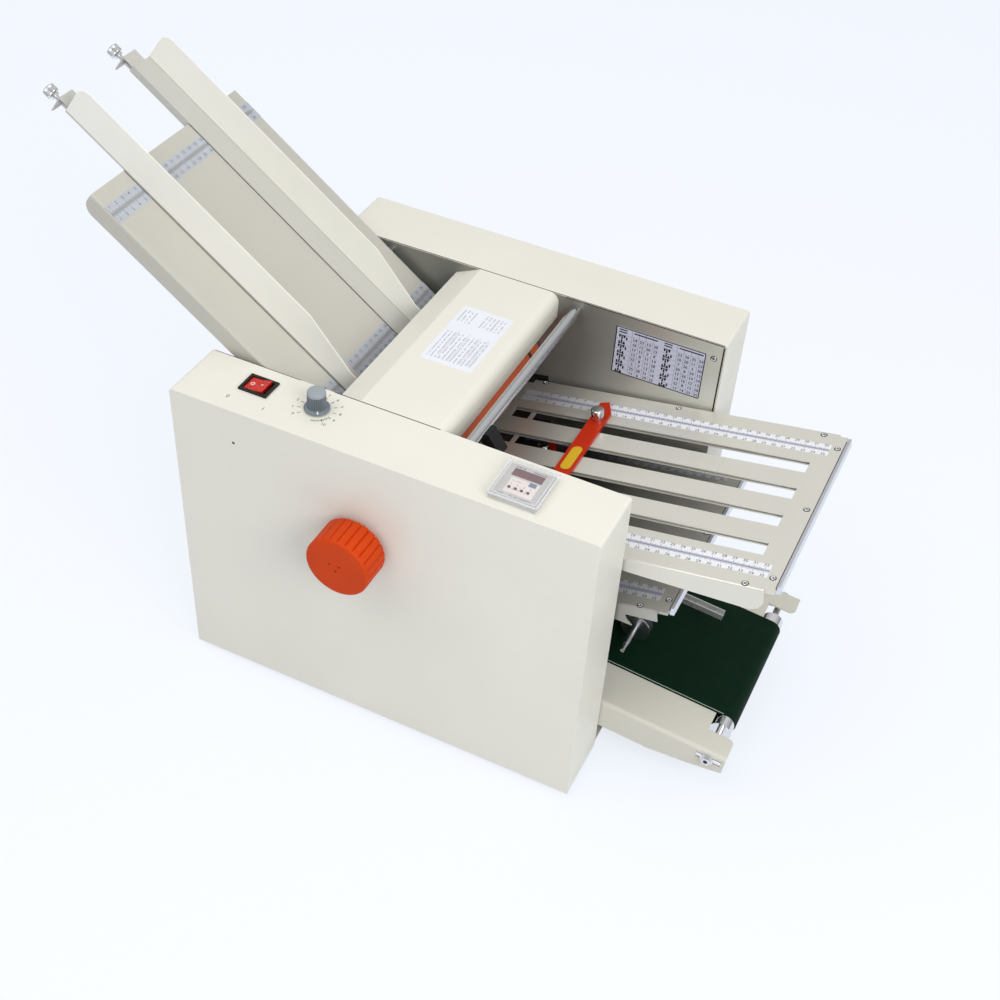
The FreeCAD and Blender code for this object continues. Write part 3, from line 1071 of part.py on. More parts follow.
for i, (x, y) in enumerate(keyPlaces):
    key = keep(newBody("counter_key_%d" % (i + 1), "dims.counter_x", "dims.counter_y", "places.top"))
    rod(key, "button", "Additive", "z", (x, y, "dims.counter_rise - dims.key_depth"), "dims.key_radius",
        "dims.key_depth + dims.key_rise")
resetKey = keep(newBody("reset_key", "dims.counter_x", "dims.counter_y", "places.top"))
block(resetKey, "button", "Additive", resetX, resetY,
      ("dims.counter_rise - dims.key_depth", "dims.counter_rise + dims.key_rise"))
lid = keep(newBody("counter_cover", "dims.counter_x", "dims.counter_y", "places.top"))
lidLong, lidWide = "dims.lid_length / 2", "dims.lid_width / 2"
block(lid, "box", "Additive", ("-" + lidLong, lidLong), ("-" + lidWide, lidWide), ("0.3", "dims.lid_height"))
block(lid, "inside", "Subtractive", ("-%s + dims.lid_sheet" % lidLong, lidLong + " - dims.lid_sheet"),
      ("-%s + dims.lid_sheet" % lidWide, lidWide + " - dims.lid_sheet"), ("-1", "dims.lid_height - dims.lid_sheet"))

inlet = keep(newBody("power_inlet", "0", "dims.inlet_y", "dims.inlet_z"))
block(inlet, "flange", "Additive", ("-2", "0"), ("-16", "16"), ("-13", "13"))
block(inlet, "case", "Additive", ("-2", "24"), ("-13.5", "13.5"), ("-10.5", "10.5"))
block(inlet, "socket", "Subtractive", ("-3", "16"), ("-11", "11"), ("-7.5", "7.5"))
for i, (y, z) in enumerate(((-6.5, -2), (0, 2), (6.5, -2))):
    block(inlet, "pin_%d" % (i + 1), "Additive", ("8", "17"), ("%g" % (y - 0.8), "%g" % (y + 0.8)),
          ("%g" % (z - 2), "%g" % (z + 2)))

# ---- checks and files ------------------------------------------------------------------------
doc.recompute()
for item in doc.Objects:
    if "Invalid" in item.State or "Error" in item.State:
        raise RuntimeError("%s failed: %s" % (item.Label, item.State))
for node in nodes:
    if node.Shape.isNull() or not node.Shape.isValid():
        raise RuntimeError("%s has no sound shape" % node.Label)
os.makedirs("parts", exist_ok=True)
for node in nodes:
    node.Shape.exportStep("parts/%s.step" % node.Label)
print(len(nodes), "nodes written")
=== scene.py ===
import math

import bmesh
import bpy
import numpy as np
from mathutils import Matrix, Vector


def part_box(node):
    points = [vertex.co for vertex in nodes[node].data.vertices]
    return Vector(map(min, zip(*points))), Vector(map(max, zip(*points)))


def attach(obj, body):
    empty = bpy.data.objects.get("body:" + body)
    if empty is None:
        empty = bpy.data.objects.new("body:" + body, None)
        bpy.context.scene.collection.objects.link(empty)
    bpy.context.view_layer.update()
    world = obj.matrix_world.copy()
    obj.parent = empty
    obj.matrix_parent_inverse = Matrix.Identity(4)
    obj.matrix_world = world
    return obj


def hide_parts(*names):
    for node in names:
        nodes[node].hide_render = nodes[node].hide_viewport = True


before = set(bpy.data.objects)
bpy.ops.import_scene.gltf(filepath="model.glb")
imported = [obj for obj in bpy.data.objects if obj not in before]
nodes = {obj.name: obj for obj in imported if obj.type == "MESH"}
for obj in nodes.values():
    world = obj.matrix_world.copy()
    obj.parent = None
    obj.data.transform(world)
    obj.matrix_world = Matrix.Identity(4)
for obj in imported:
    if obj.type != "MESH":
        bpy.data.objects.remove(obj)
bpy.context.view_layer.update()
print("frame loaded:", len(nodes), "nodes")

# machine places in millimetres, counted from the feed end, the control side and the bench
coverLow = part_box("near_cover")[0]
machine = {"centreX": -1000 * coverLow[0], "centreY": -1000 * coverLow[1], "top": 353.9, "near": 71.4,
           "far": 327.3}
# x and z where a face starts, and its rise in degrees
slopes = {"tray": (-125.8, 483.1, -35.86), "upper": (246.9, 240.3, 9.88), "lower": (232.3, 175.6, 10.9),
          "conveyor": (442.8, 73.4, -5.5), "top": (0.0, machine["top"], 0.0),
          "rocker": (71.0, machine["top"] - 4, 9.0)}


def surfaceFrame(name):
    # origin and three unit directions of a face: along, across and outward
    if name in slopes:
        x, z, rise = slopes[name]
        c, s = math.cos(math.radians(rise)), math.sin(math.radians(rise))
        return (x, 0, z), (c, 0, s), (0, 1, 0), (-s, 0, c)
    if name == "farPanel":
        return (0, machine["far"], 0), (1, 0, 0), (0, 0, 1), (0, -1, 0)
    if name == "nearFace":
        return (0, 0, 0), (1, 0, 0), (0, 0, 1), (0, -1, 0)
    raise ValueError(name)


def place(name, local):
    # local (along, across, out) millimetres on a face to metres in the part's frame
    origin, along, across, out = (np.array(v, float) for v in surfaceFrame(name))
    local = np.asarray(local, float)
    world = origin + local[..., :1] * along + local[..., 1:2] * across + local[..., 2:3] * out
    world[..., 0] -= machine["centreX"]
    world[..., 1] -= machine["centreY"]
    return world / 1000


def gridFaces(rows, columns):
    # quads between neighbouring rows of points, each row a closed ring
    r = np.arange(rows - 1)[:, None]
    c = np.arange(columns)[None, :]
    a, b = r * columns + c, r * columns + (c + 1) % columns
    return np.stack([a, b, b + columns, a + columns], -1).reshape(-1, 4)


def makePiece(name, parts, material, body, sharp=35, merge=True):
    # one object from several (points, faces) pairs, smooth but for edges sharper than an angle
    points, faces, start = [], [], 0
    for p, f in parts:
        p = np.asarray(p, float).reshape(-1, 3)
        points += p.tolist()
        faces += (np.asarray(f, int) + start).tolist()
        start += len(p)
    mesh = bpy.data.meshes.new(name)
    mesh.from_pydata(points, [], faces)
    if merge:
        work = bmesh.new()
        work.from_mesh(mesh)
        bmesh.ops.remove_doubles(work, verts=work.verts, dist=1e-7)
        bmesh.ops.dissolve_degenerate(work, edges=work.edges, dist=1e-7)
        bmesh.ops.recalc_face_normals(work, faces=work.faces)
        work.to_mesh(mesh)
        work.free()
    mesh.update()
    mesh.polygons.foreach_set("use_smooth", np.ones(len(mesh.polygons), bool))
    mesh.set_sharp_from_angle(angle=math.radians(sharp))
    piece = bpy.data.objects.new(name, mesh)
    bpy.context.scene.collection.objects.link(piece)
    mesh.materials.append(material)
    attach(piece, body)
    return piece


def makeMarks(name, parts, material, body="frame"):
    # print and dark gaps, whose corners needn't be welded
    return makePiece(name, parts, material, body, merge=False)


def slab(face, centre, size, corner=0.0, low=0.0, high=0.1, edge=0.0, turn=0.0):
    # plate with rounded corners: four rings of one outline, from the underside's middle round to the top's
    perCorner = 7
    count = 4 * perCorner
    quarter = np.arange(count) // perCorner
    step = (np.arange(count) % perCorner) / (perCorner - 1) * (math.pi / 2)
    signs = np.array([(1, 1), (-1, 1), (-1, -1), (1, -1)])[quarter]
    swing = step + quarter * math.pi / 2
    half = np.array(size) / 2
    radius = max(min(corner, half.min() - 1e-6), 1e-4)

    def ring(shrink, z):
        r = max(radius - shrink, 1e-5)
        x = signs[:, 0] * (half[0] - radius) + r * np.cos(swing)
        y = signs[:, 1] * (half[1] - radius) + r * np.sin(swing)
        c, s = math.cos(math.radians(turn)), math.sin(math.radians(turn))
        return np.stack([centre[0] + x * c - y * s, centre[1] + x * s + y * c, np.full(count, z)], -1)

    middle = np.tile([centre[0], centre[1], low], (count, 1))
    rings = [middle, ring(edge, low), ring(0, low + edge), ring(0, high - edge), ring(edge, high),
             middle + [0, 0, high - low]]
    return place(face, np.stack(rings)), gridFaces(len(rings), count)


def boxes(face, centres, halves):
    # many small bars at once: eight corners each, offset from a centre by half sizes
    corners = np.array([(x, y, z) for x in (-1, 1) for y in (-1, 1) for z in (-1, 1)], float)
    centres, halves = np.atleast_2d(centres), np.atleast_2d(halves)
    points = centres[:, None, :] + corners[None] * halves[:, None, :]
    quads = np.array([(0, 1, 3, 2), (4, 6, 7, 5), (0, 4, 5, 1), (2, 3, 7, 6), (0, 2, 6, 4), (1, 5, 7, 3)])
    faces = (np.arange(len(centres)) * 8)[:, None, None] + quads[None]
    return place(face, points.reshape(-1, 3)), faces.reshape(-1, 4)


def turnedPart(face, axis, centre, profile, segments=64, ripple=None):
    # profile (distance, radius) swept round an axis; ripple(angle, distance, radius) changes the radius
    profile = np.array(profile, float)
    angle = np.linspace(0, 2 * math.pi, segments, endpoint=False)
    distance, radius = profile[:, :1], np.repeat(profile[:, 1:], segments, 1)
    if ripple:
        radius = ripple(angle[None, :], distance, radius)
    a, b = radius * np.cos(angle), radius * np.sin(angle)
    d = np.broadcast_to(distance, a.shape)
    order = {"along": (d, a, b), "across": (a, d, b), "out": (a, b, d)}[axis]
    points = np.stack(order, -1) + np.array(centre, float)
    return place(face, points), gridFaces(len(profile), segments)


glyphs = {}


def glyph(text):
    # outline of a word as flat triangles, one unit high, centred
    if text not in glyphs:
        curve = bpy.data.curves.new("glyph", "FONT")
        curve.body = text
        curve.align_x, curve.align_y = "CENTER", "CENTER"
        curve.resolution_u = 2
        carrier = bpy.data.objects.new("glyph", curve)
        bpy.context.scene.collection.objects.link(carrier)
        bpy.context.view_layer.update()
        flat = bpy.data.meshes.new_from_object(carrier.evaluated_get(bpy.context.evaluated_depsgraph_get()))
        flat.calc_loop_triangles()
        points = np.zeros(len(flat.vertices) * 3)
        flat.vertices.foreach_get("co", points)
        corners = np.zeros(len(flat.loop_triangles) * 3, int)
        flat.loop_triangles.foreach_get("vertices", corners)
        glyphs[text] = points.reshape(-1, 3), corners.reshape(-1, 3)
        bpy.data.objects.remove(carrier)
        bpy.data.curves.remove(curve)
        bpy.data.meshes.remove(flat)
    return glyphs[text]


def word(face, text, centre, size, turn=0.0, height=0.1):
    # a printed word lying on a face, turned in its plane
    points, corners = glyph(text)
    c, s = math.cos(math.radians(turn)), math.sin(math.radians(turn))
    x, y = points[:, 0] * size, points[:, 1] * size
    local = np.stack([centre[0] + x * c - y * s, centre[1] + x * s + y * c, np.full(len(x), height)], -1)
    return place(face, local), corners


def alongX(x):
    # a place along the machine in millimetres to metres in the part's frame
    return (x - machine["centreX"]) / 1000


def across(y):
    # the same across the machine
    return (y - machine["centreY"]) / 1000


def rgb(red, green, blue):
    # a screen colour of 0 to 255 as linear light
    value = np.array([red, green, blue]) / 255
    return tuple(np.where(value <= 0.04045, value / 12.92, ((value + 0.055) / 1.055) ** 2.4)) + (1.0,)


def shade(colour, factor):
    # the colour made darker or lighter
    return tuple(min(1.0, c * factor) for c in colour[:3]) + (1.0,)


class Graph:
    # small helper round a material's node tree
    def __init__(self, name):
        self.material = bpy.data.materials.new(name)
        self.material.use_nodes = True
        self.tree = self.material.node_tree
        self.shader = self.tree.nodes["Principled BSDF"]
        self.coordinates = self.tree.nodes.new("ShaderNodeTexCoord").outputs["Object"]

    def node(self, kind, **values):
        made = self.tree.nodes.new(kind)
        for key, value in values.items():
            if key in made.inputs:
                made.inputs[key].default_value = value
            else:
                setattr(made, key, value)
        return made

    def link(self, source, target):
        self.tree.links.new(source, target)

    def stretched(self, scale, turn=(0, 0, 0)):
        mapping = self.node("ShaderNodeMapping")
        mapping.inputs["Scale"].default_value = scale
        mapping.inputs["Rotation"].default_value = [math.radians(a) for a in turn]
        self.link(self.coordinates, mapping.inputs["Vector"])
        return mapping.outputs["Vector"]

    def noise(self, scale, detail=3.0, vector=None):
        made = self.node("ShaderNodeTexNoise", Scale=scale, Detail=detail)
        self.link(vector or self.coordinates, made.inputs["Vector"])
        return made.outputs["Fac"]

    def mix(self, factor, first, second):
        made = self.node("ShaderNodeMix", data_type="RGBA")
        made.inputs[6].default_value = first if isinstance(first, tuple) else (1, 1, 1, 1)
        made.inputs[7].default_value = second if isinstance(second, tuple) else (1, 1, 1, 1)
        self.link(factor, made.inputs["Factor"])
        if not isinstance(first, tuple):
            self.link(first, made.inputs[6])
        if not isinstance(second, tuple):
            self.link(second, made.inputs[7])
        return made.outputs[2]

    def spread(self, value, low, high, fromLow=0.3, fromHigh=0.7):
        made = self.node("ShaderNodeMapRange")
        for key, number in (("From Min", fromLow), ("From Max", fromHigh), ("To Min", low), ("To Max", high)):
            made.inputs[key].default_value = number
        self.link(value, made.inputs["Value"])
        return made.outputs["Result"]

    def fade(self, low, high, lowValue, highValue):
        # a number that runs between two places along the machine in metres
        split = self.node("ShaderNodeSeparateXYZ")
        self.link(self.coordinates, split.inputs[0])
        return self.spread(split.outputs["X"], lowValue, highValue, low, high)

    def nearTray(self, height):
        # 1 below a height over the tray's face
        origin, out = (np.array(surfaceFrame("tray")[k]) for k in (0, 3))
        start = (origin - [machine["centreX"], machine["centreY"], 0]) / 1000
        made = self.node("ShaderNodeVectorMath", operation="DOT_PRODUCT")
        made.inputs[1].default_value = tuple(out)
        self.link(self.coordinates, made.inputs[0])
        level = float(start @ out)
        return self.spread(made.outputs["Value"], 1, 0, level + height, level + height + 0.0004)

    def darkened(self, base, colour, shadeRun):
        # painted shade: a face made darker between two places, toward the rollers, given as (from, to,
        # darkness)
        start, end, factor = shadeRun
        return self.mix(self.fade(alongX(start), alongX(end), 0, 1), shade(colour, factor), base)

    def finish(self, colour, rough, height, depth, shine=None):
        # join tone, gloss and height to the shader
        self.link(colour, self.shader.inputs["Base Color"])
        self.link(rough, self.shader.inputs["Roughness"])
        if shine is not None:
            self.shader.inputs["Specular IOR Level"].default_value = shine
        made = self.node("ShaderNodeBump", Distance=depth, Strength=1.0)
        self.link(height, made.inputs["Height"])
        self.link(made.outputs["Normal"], self.shader.inputs["Normal"])
        return self.material

    def between(self, axis, low, high):
        # 1 where a coordinate lies between two places in metres
        split = self.node("ShaderNodeSeparateXYZ")
        self.link(self.coordinates, split.inputs[0])
        above = self.node("ShaderNodeMath", operation="GREATER_THAN")
        above.inputs[1].default_value = low
        below = self.node("ShaderNodeMath", operation="LESS_THAN")
        below.inputs[1].default_value = high
        both = self.node("ShaderNodeMath", operation="MULTIPLY")
        for test in (above, below):
            self.link(split.outputs[axis], test.inputs[0])
        self.link(above.outputs[0], both.inputs[0])
        self.link(below.outputs[0], both.inputs[1])
        return both.outputs[0]


def painted(name, colour, gloss=0.38, grain=1300, depth=0.00002, drift=0.02, grime=0.05, shine=0.35,
            foot=1.0):
    # powder coat: faint cloudy tone, orange peel and a few darker scuffs; below 1, foot paints shade low on a
    # guide's foot
    g = Graph(name)
    cloud = g.noise(9, 4)
    base = g.mix(g.spread(cloud, 0, 1), shade(colour, 1 - drift), shade(colour, 1 + drift))
    scuff = g.spread(g.noise(60, 6, g.stretched((1, 1, 2.5))), 0, grime, 0.62, 0.8)
    base = g.mix(scuff, base, shade(colour, 0.55))
    # painted shade where the guide's foot lies low between its walls
    if foot < 1:
        base = g.mix(g.nearTray(0.0022), base, shade(colour, foot))
    rough = g.spread(g.noise(35, 4), gloss - 0.05, gloss + 0.07)
    return g.finish(base, rough, g.noise(grain, 2), depth, shine)


def metal(name, colour, rough, brush, spreadBy=0.1, depth=0.000008, drift=0.12, metallic=1.0, shadeRun=None):
    # rolled or turned metal: streaks stretched along one direction in tone, gloss and height
    g = Graph(name)
    streak = g.noise(1.0, 5, g.stretched(brush))
    cloud = g.noise(14, 3)
    base = g.mix(g.spread(streak, 0, 1), shade(colour, 1 - drift), shade(colour, 1 + drift * 0.6))
    base = g.mix(g.spread(cloud, 0, 0.35), base, shade(colour, 0.9))
    # painted shade toward the rollers, where asked for
    if shadeRun:
        base = g.darkened(base, colour, shadeRun)
    g.shader.inputs["Metallic"].default_value = metallic
    return g.finish(base, g.spread(streak, rough - spreadBy / 2, rough + spreadBy / 2), streak, depth)


def plastic(name, colour, rough=0.4, grain=900, depth=0.00003, coat=0.0, drift=0.05, shine=0.3, shadeRun=None):
    # moulded plastic: fine sparked grain, handling shine in patches
    g = Graph(name)
    base = g.mix(g.spread(g.noise(25, 4), 0, 1), shade(colour, 1 - drift), shade(colour, 1 + drift))
    # painted shade toward the rollers, where asked for
    if shadeRun:
        base = g.darkened(base, colour, shadeRun)
    g.shader.inputs["Coat Weight"].default_value = coat
    g.shader.inputs["Coat Roughness"].default_value = 0.15
    gloss = g.spread(g.noise(45, 5), rough - 0.06, rough + 0.08)
    return g.finish(base, gloss, g.noise(grain, 3), depth, shine)


def clearSheet(name, least, most):
    # clear moulded lid: see-through face on, whiter along its rims where seen edge-on, a painted reflection,
    # faint hair scratches
    g = Graph(name)
    rim = g.node("ShaderNodeLayerWeight", Blend=0.35)
    g.link(g.spread(rim.outputs["Facing"], least, most, 0.5, 0.98), g.shader.inputs["Alpha"])
    scratches = g.spread(g.noise(1, 4, g.stretched((900, 30, 30), (0, 0, 30))), 0.03, 0.14)
    tone = g.mix(g.noise(20, 2), (0.93, 0.95, 0.97, 1), (0.86, 0.89, 0.92, 1))
    return g.finish(tone, scratches, g.noise(30, 2), 0.00002)


def rollerSleeve(name, sleeve, axle, low, high, shadeGaps):
    # ground rubber between two places across the machine and steel outside them; narrow gaps in the rubber
    # are near black, painted shade
    g = Graph(name)
    ring = g.noise(1, 4, g.stretched((60, 1500, 60)))
    rubber = g.mix(g.spread(ring, 0, 1), shade(sleeve, 0.85), shade(sleeve, 1.1))
    steel = g.mix(g.spread(ring, 0, 1), shade(axle, 0.8), shade(axle, 1.1))
    mask = g.between(1, low, high)
    colour = g.mix(mask, steel, rubber)
    # painted shade in each gap
    for gapLow, gapHigh in shadeGaps:
        colour = g.mix(g.between(1, gapLow, gapHigh), colour, (0.02, 0.015, 0.012, 1))
    g.link(g.spread(mask, 1, 0, 0, 1), g.shader.inputs["Metallic"])
    return g.finish(colour, g.spread(mask, 0.3, 0.55, 0, 1), ring, 0.00003)


def wovenBelt(name, colour):
    # conveyor fabric: crossed threads under a rubber face
    g = Graph(name)
    threads = []
    for direction in ("X", "Y"):
        wave = g.node("ShaderNodeTexWave", wave_type="BANDS", bands_direction=direction, Scale=420.0,
                      Distortion=0.6)
        g.link(g.coordinates, wave.inputs["Vector"])
        threads.append(wave.outputs["Fac"])
    cross = g.node("ShaderNodeMath", operation="ADD")
    g.link(threads[0], cross.inputs[0])
    g.link(threads[1], cross.inputs[1])
    dust = g.spread(g.noise(18, 6), 0, 0.25, 0.5, 0.8)
    base = g.mix(g.spread(cross.outputs[0], 0, 1, 0, 2), shade(colour, 0.75), shade(colour, 1.2))
    dusty = g.mix(dust, base, shade(colour, 1.4))
    return g.finish(dusty, g.spread(g.noise(60, 4), 0.55, 0.7), cross.outputs[0], 0.00006, 0.1)


def ink(name, colour):
    # printed marks with slightly uneven cover
    g = Graph(name)
    tone = g.mix(g.spread(g.noise(700, 2), 0, 1), shade(colour, 0.8), shade(colour, 1.25))
    return g.finish(tone, g.spread(g.noise(300, 2), 0.55, 0.65), g.noise(1500, 1), 0.000004, 0.2)


ivory = painted("ivoryCoat", rgb(233, 231, 220))
# rails: the ivory coat made darker, a painted shade copy
shadedRailCoat = painted("shadedRailCoat", rgb(214, 212, 200))
trayCoat = painted("trayCoat", rgb(196, 194, 184), gloss=0.42)
# guides: painted shade on the foot, low between the walls
guideCoat = painted("guideCoat", rgb(247, 246, 238), gloss=0.4, foot=0.6)
# side panels: painted shade, darker toward the hood and rollers
panelSteel = metal("panelSteel", rgb(222, 222, 214), rough=0.36, brush=(7, 60, 900), drift=0.05, metallic=0.5,
                   shadeRun=(280, 430, 0.36))
# upper plate: painted shade, darker toward the rollers
plateSteel = metal("plateSteel", rgb(226, 224, 214), rough=0.34, brush=(900, 9, 900), drift=0.025,
                   metallic=0.4, shadeRun=(262, 350, 0.5))
# lower plate: a darker copy of the upper plate's steel, painted shade under the upper plate, darker still
# toward the rollers
lowPlateShadedSteel = metal("lowPlateShadedSteel", rgb(206, 204, 196), rough=0.36, brush=(900, 9, 900), drift=0.03,
                      metallic=0.4, shadeRun=(325, 545, 0.06))
barAluminium = metal("barAluminium", rgb(222, 225, 232), rough=0.3, brush=(900, 6, 900), drift=0.06)
chrome = metal("chrome", rgb(225, 226, 228), rough=0.1, brush=(300, 12, 300), spreadBy=0.05, drift=0.05)
barChrome = metal("barChrome", rgb(206, 207, 209), rough=0.16, brush=(120, 5, 120), spreadBy=0.08, drift=0.04,
                  depth=0.000003)
turnedSteel = metal("turnedSteel", rgb(176, 176, 178), rough=0.28, brush=(700, 8, 700))
flatSteel = metal("flatSteel", rgb(206, 208, 206), rough=0.3, brush=(90, 9, 90), drift=0.05, metallic=0.7)
darkSteel = metal("darkSteel", rgb(92, 90, 88), rough=0.4, brush=(40, 40, 40))
bronze = metal("bronze", rgb(150, 116, 76), rough=0.45, brush=(200, 200, 200))
orangeCase = plastic("orangeCase", rgb(205, 66, 12), rough=0.52, shine=0.14)
orangeCoat = painted("orangeCoat", rgb(196, 44, 8), gloss=0.34, grime=0.12, shine=0.25)
ovalYellow = painted("ovalYellow", rgb(222, 180, 34), gloss=0.4)
blackCase = plastic("blackCase", rgb(24, 22, 22), rough=0.42, shine=0.3)
blackRubber = plastic("blackRubber", rgb(22, 22, 23), rough=0.7, grain=400, shine=0.15)
pitDark = plastic("pitDark", rgb(96, 20, 8), rough=0.6, shine=0.1)
# dark strips for painted shade in gaps, round screw heads and in their slots
shadeLine = plastic("shadeLine", rgb(52, 50, 46), rough=0.6, shine=0.1)
edgePale = plastic("edgePale", rgb(150, 172, 160), rough=0.6, shine=0.1)
capGrey = plastic("capGrey", rgb(158, 165, 172), rough=0.4)
creaseGrey = plastic("creaseGrey", rgb(150, 146, 134), rough=0.6, shine=0.1)
greyCase = plastic("greyCase", rgb(122, 130, 138), rough=0.42)
redCase = plastic("redCase", rgb(196, 28, 14), rough=0.22, coat=0.25)
keyRed = plastic("keyRed", rgb(88, 36, 40), rough=0.4)
keyBlue = plastic("keyBlue", rgb(104, 124, 150), rough=0.4)
counterCase = plastic("counterCase", rgb(196, 194, 192), rough=0.5)
counterCard = plastic("counterCard", rgb(232, 222, 218), rough=0.5)
displayRed = plastic("displayRed", rgb(104, 58, 66), rough=0.2, depth=0.000002)
motorCoat = painted("motorCoat", rgb(60, 63, 66), gloss=0.45)
labelPaper = plastic("labelPaper", rgb(236, 238, 246), rough=0.5, grain=500, depth=0.00001, drift=0.012)
tablePaper = plastic("tablePaper", rgb(200, 202, 220), rough=0.5, grain=500, depth=0.00001, drift=0.02)
# ruler film on the upper plate: painted shade toward the rollers, as on the plate
rulerFilm = plastic("rulerFilm", rgb(236, 238, 243), rough=0.35, depth=0.000005, drift=0.02,
                    shadeRun=(265, 350, 0.4))
# ruler film on the lower plate: a darker copy, painted shade under the upper plate, darker still toward the
# rollers
lowRulerShadedFilm = plastic("lowRulerShadedFilm", rgb(222, 224, 230), rough=0.35, depth=0.000005, drift=0.02,
                       shadeRun=(325, 545, 0.06))
trayFilm = plastic("trayFilm", rgb(186, 190, 198), rough=0.3, depth=0.000005, drift=0.06)
rulerLine = plastic("rulerLine", rgb(128, 130, 172), rough=0.35, depth=0.000005)
whiteInk = ink("whiteInk", rgb(240, 240, 240))
blackInk = ink("blackInk", rgb(24, 24, 28))
greyInk = ink("greyInk", rgb(92, 94, 102))
paleInk = ink("paleInk", rgb(140, 142, 150))
tealInk = ink("tealInk", rgb(120, 136, 160))
belt = wovenBelt("greenBelt", rgb(6, 36, 20))
lidClear = clearSheet("lidClear", 0.07, 0.55)
rimClear = clearSheet("rimClear", 0.55, 0.9)
sleeveEnds = (across(machine["near"] + 3), across(machine["far"] - 3))
# narrow bands of painted shade in the roller sleeves
sleeveShadeGaps = [(across(y), across(y + 5)) for y in (92, 302)]
axleGrey = rgb(176, 176, 178)
sleeve = rollerSleeve("rollerSleeve", rgb(196, 90, 50), axleGrey, *sleeveEnds, sleeveShadeGaps)
darkSleeve = rollerSleeve("darkSleeve", rgb(46, 34, 30), rgb(120, 118, 116), *sleeveEnds, sleeveShadeGaps)
feedSleeve = rollerSleeve("feedSleeve", rgb(40, 40, 42), axleGrey, across(154), across(245), [])
wheelFinish = rollerSleeve("wheelFinish", rgb(34, 34, 36), rgb(200, 200, 204), across(168), across(181), [])

finishes = {
    ivory: ["near_cover", "far_cover", "base_pan", "hood"], shadedRailCoat: ["near_rail", "far_rail"],
    trayCoat: ["feed_tray"], guideCoat: ["near_guide", "far_guide"],
    panelSteel: ["near_side_plate", "far_side_plate"],
    plateSteel: ["upper_plate_top", "upper_plate_bottom"],
    lowPlateShadedSteel: ["lower_plate_top", "lower_plate_bottom"],
    barAluminium: ["plate_end_bars"], chrome: ["tie_bar", "rail_bolts", "outer_belt_roller"],
    flatSteel: ["press_bars"], turnedSteel: ["cross_rods", "motor_pulley", "inner_belt_roller"],
    darkSteel: ["paper_chute", "inner_deflector"], bronze: ["shaft_bearings"],
    orangeCoat: ["upper_stop", "lower_stop"],
    blackCase: ["sheet_sensor", "plate_supports", "switch_bezel", "speed_control", "power_inlet"],
    blackRubber: ["rubber_feet", "separator_block", "drive_belts"],
    redCase: ["rocker"], keyRed: ["counter_key_%d" % i for i in range(1, 5)], keyBlue: ["reset_key"],
    counterCase: ["counter_body"], motorCoat: ["motor"], belt: ["conveyor_belt"], lidClear: ["counter_cover"],
    darkSleeve: ["fold_roller_%d" % i for i in range(1, 6)], sleeve: ["upper_roller"],
    feedSleeve: ["feed_roller"], wheelFinish: ["press_wheels"],
}
for material, names in finishes.items():
    for name in names:
        nodes[name].data.materials.clear()
        nodes[name].data.materials.append(material)
print("finishes set")

rulers = {"film": 0.12, "mark": 0.17, "tick": (1.5, 2.3, 3.4), "tickWidth": 0.3, "figure": 4.9,
          "figureLine": 6.6}


def rulerRow(face, start, count, first, side, sign, alongFace=True):
    # comb of millimetre ticks growing from one line to one side and a figure at every tenth
    step = np.arange(-4, count * 10 + 5)
    short, half, whole = rulers["tick"]
    length = np.where(step % 10 == 0, whole, np.where(step % 5 == 0, half, short))
    position, middle = start + step, side + sign * length / 2
    thick = np.full(len(step), rulers["tickWidth"] / 2)
    level, rise = np.full(len(step), rulers["film"]), np.full(len(step), 0.03)
    if alongFace:
        centres, halves = np.stack([position, middle, level], -1), np.stack([thick, length / 2, rise], -1)
    else:
        centres, halves = np.stack([middle, position, level], -1), np.stack([length / 2, thick, rise], -1)
    parts = [boxes(face, centres, halves)]
    line, turn = side + sign * rulers["figureLine"], 0 if alongFace else 90
    for i in range(count + 1):
        spot = start + 10 * i
        centre = (spot, line) if alongFace else (line, spot)
        parts.append(word(face, str(first + i), centre, rulers["figure"], turn, rulers["mark"]))
    return parts


def plateRuler(face, name, low, middle, high, start, end, upper, lower):
    # two white strips side by side with a coloured line between them; rows are (place, count, first figure)
    centre, length = (start + end) / 2, end - start
    films = []
    for near, far in ((low, middle - 0.5), (middle + 0.5, high)):
        films.append(slab(face, (centre, (near + far) / 2), (length, far - near), 0.4, 0, rulers["film"]))
    makePiece(name + "Film", films, rulerFilm if face == "upper" else lowRulerShadedFilm, "frame")
    makePiece(name + "Line", [slab(face, (centre, middle), (length, 1.2), 0.2, 0, 0.14)], rulerLine,
              "frame")
    marks = rulerRow(face, *upper, middle + 0.7, 1) + rulerRow(face, *lower, middle - 0.7, -1)
    makeMarks(name + "Marks", marks, blackInk)


plateRuler("upper", "upperFarRuler", 285.0, 294.0, 303.0, -8, 325.5, (10.5, 31, 1), (10.5, 31, 4))
plateRuler("upper", "upperNearRuler", 93.6, 102.6, 111.6, -8, 325.5, (10.5, 31, 1), (10.5, 31, 4))
plateRuler("lower", "lowerNearRuler", 91.0, 100.0, 109.0, 12, 247.5, (22, 22, 2), (21.8, 22, 3))
plateRuler("lower", "lowerFarRuler", 285.0, 294.0, 303.0, 12, 247.5, (22, 22, 2), (21.8, 22, 3))


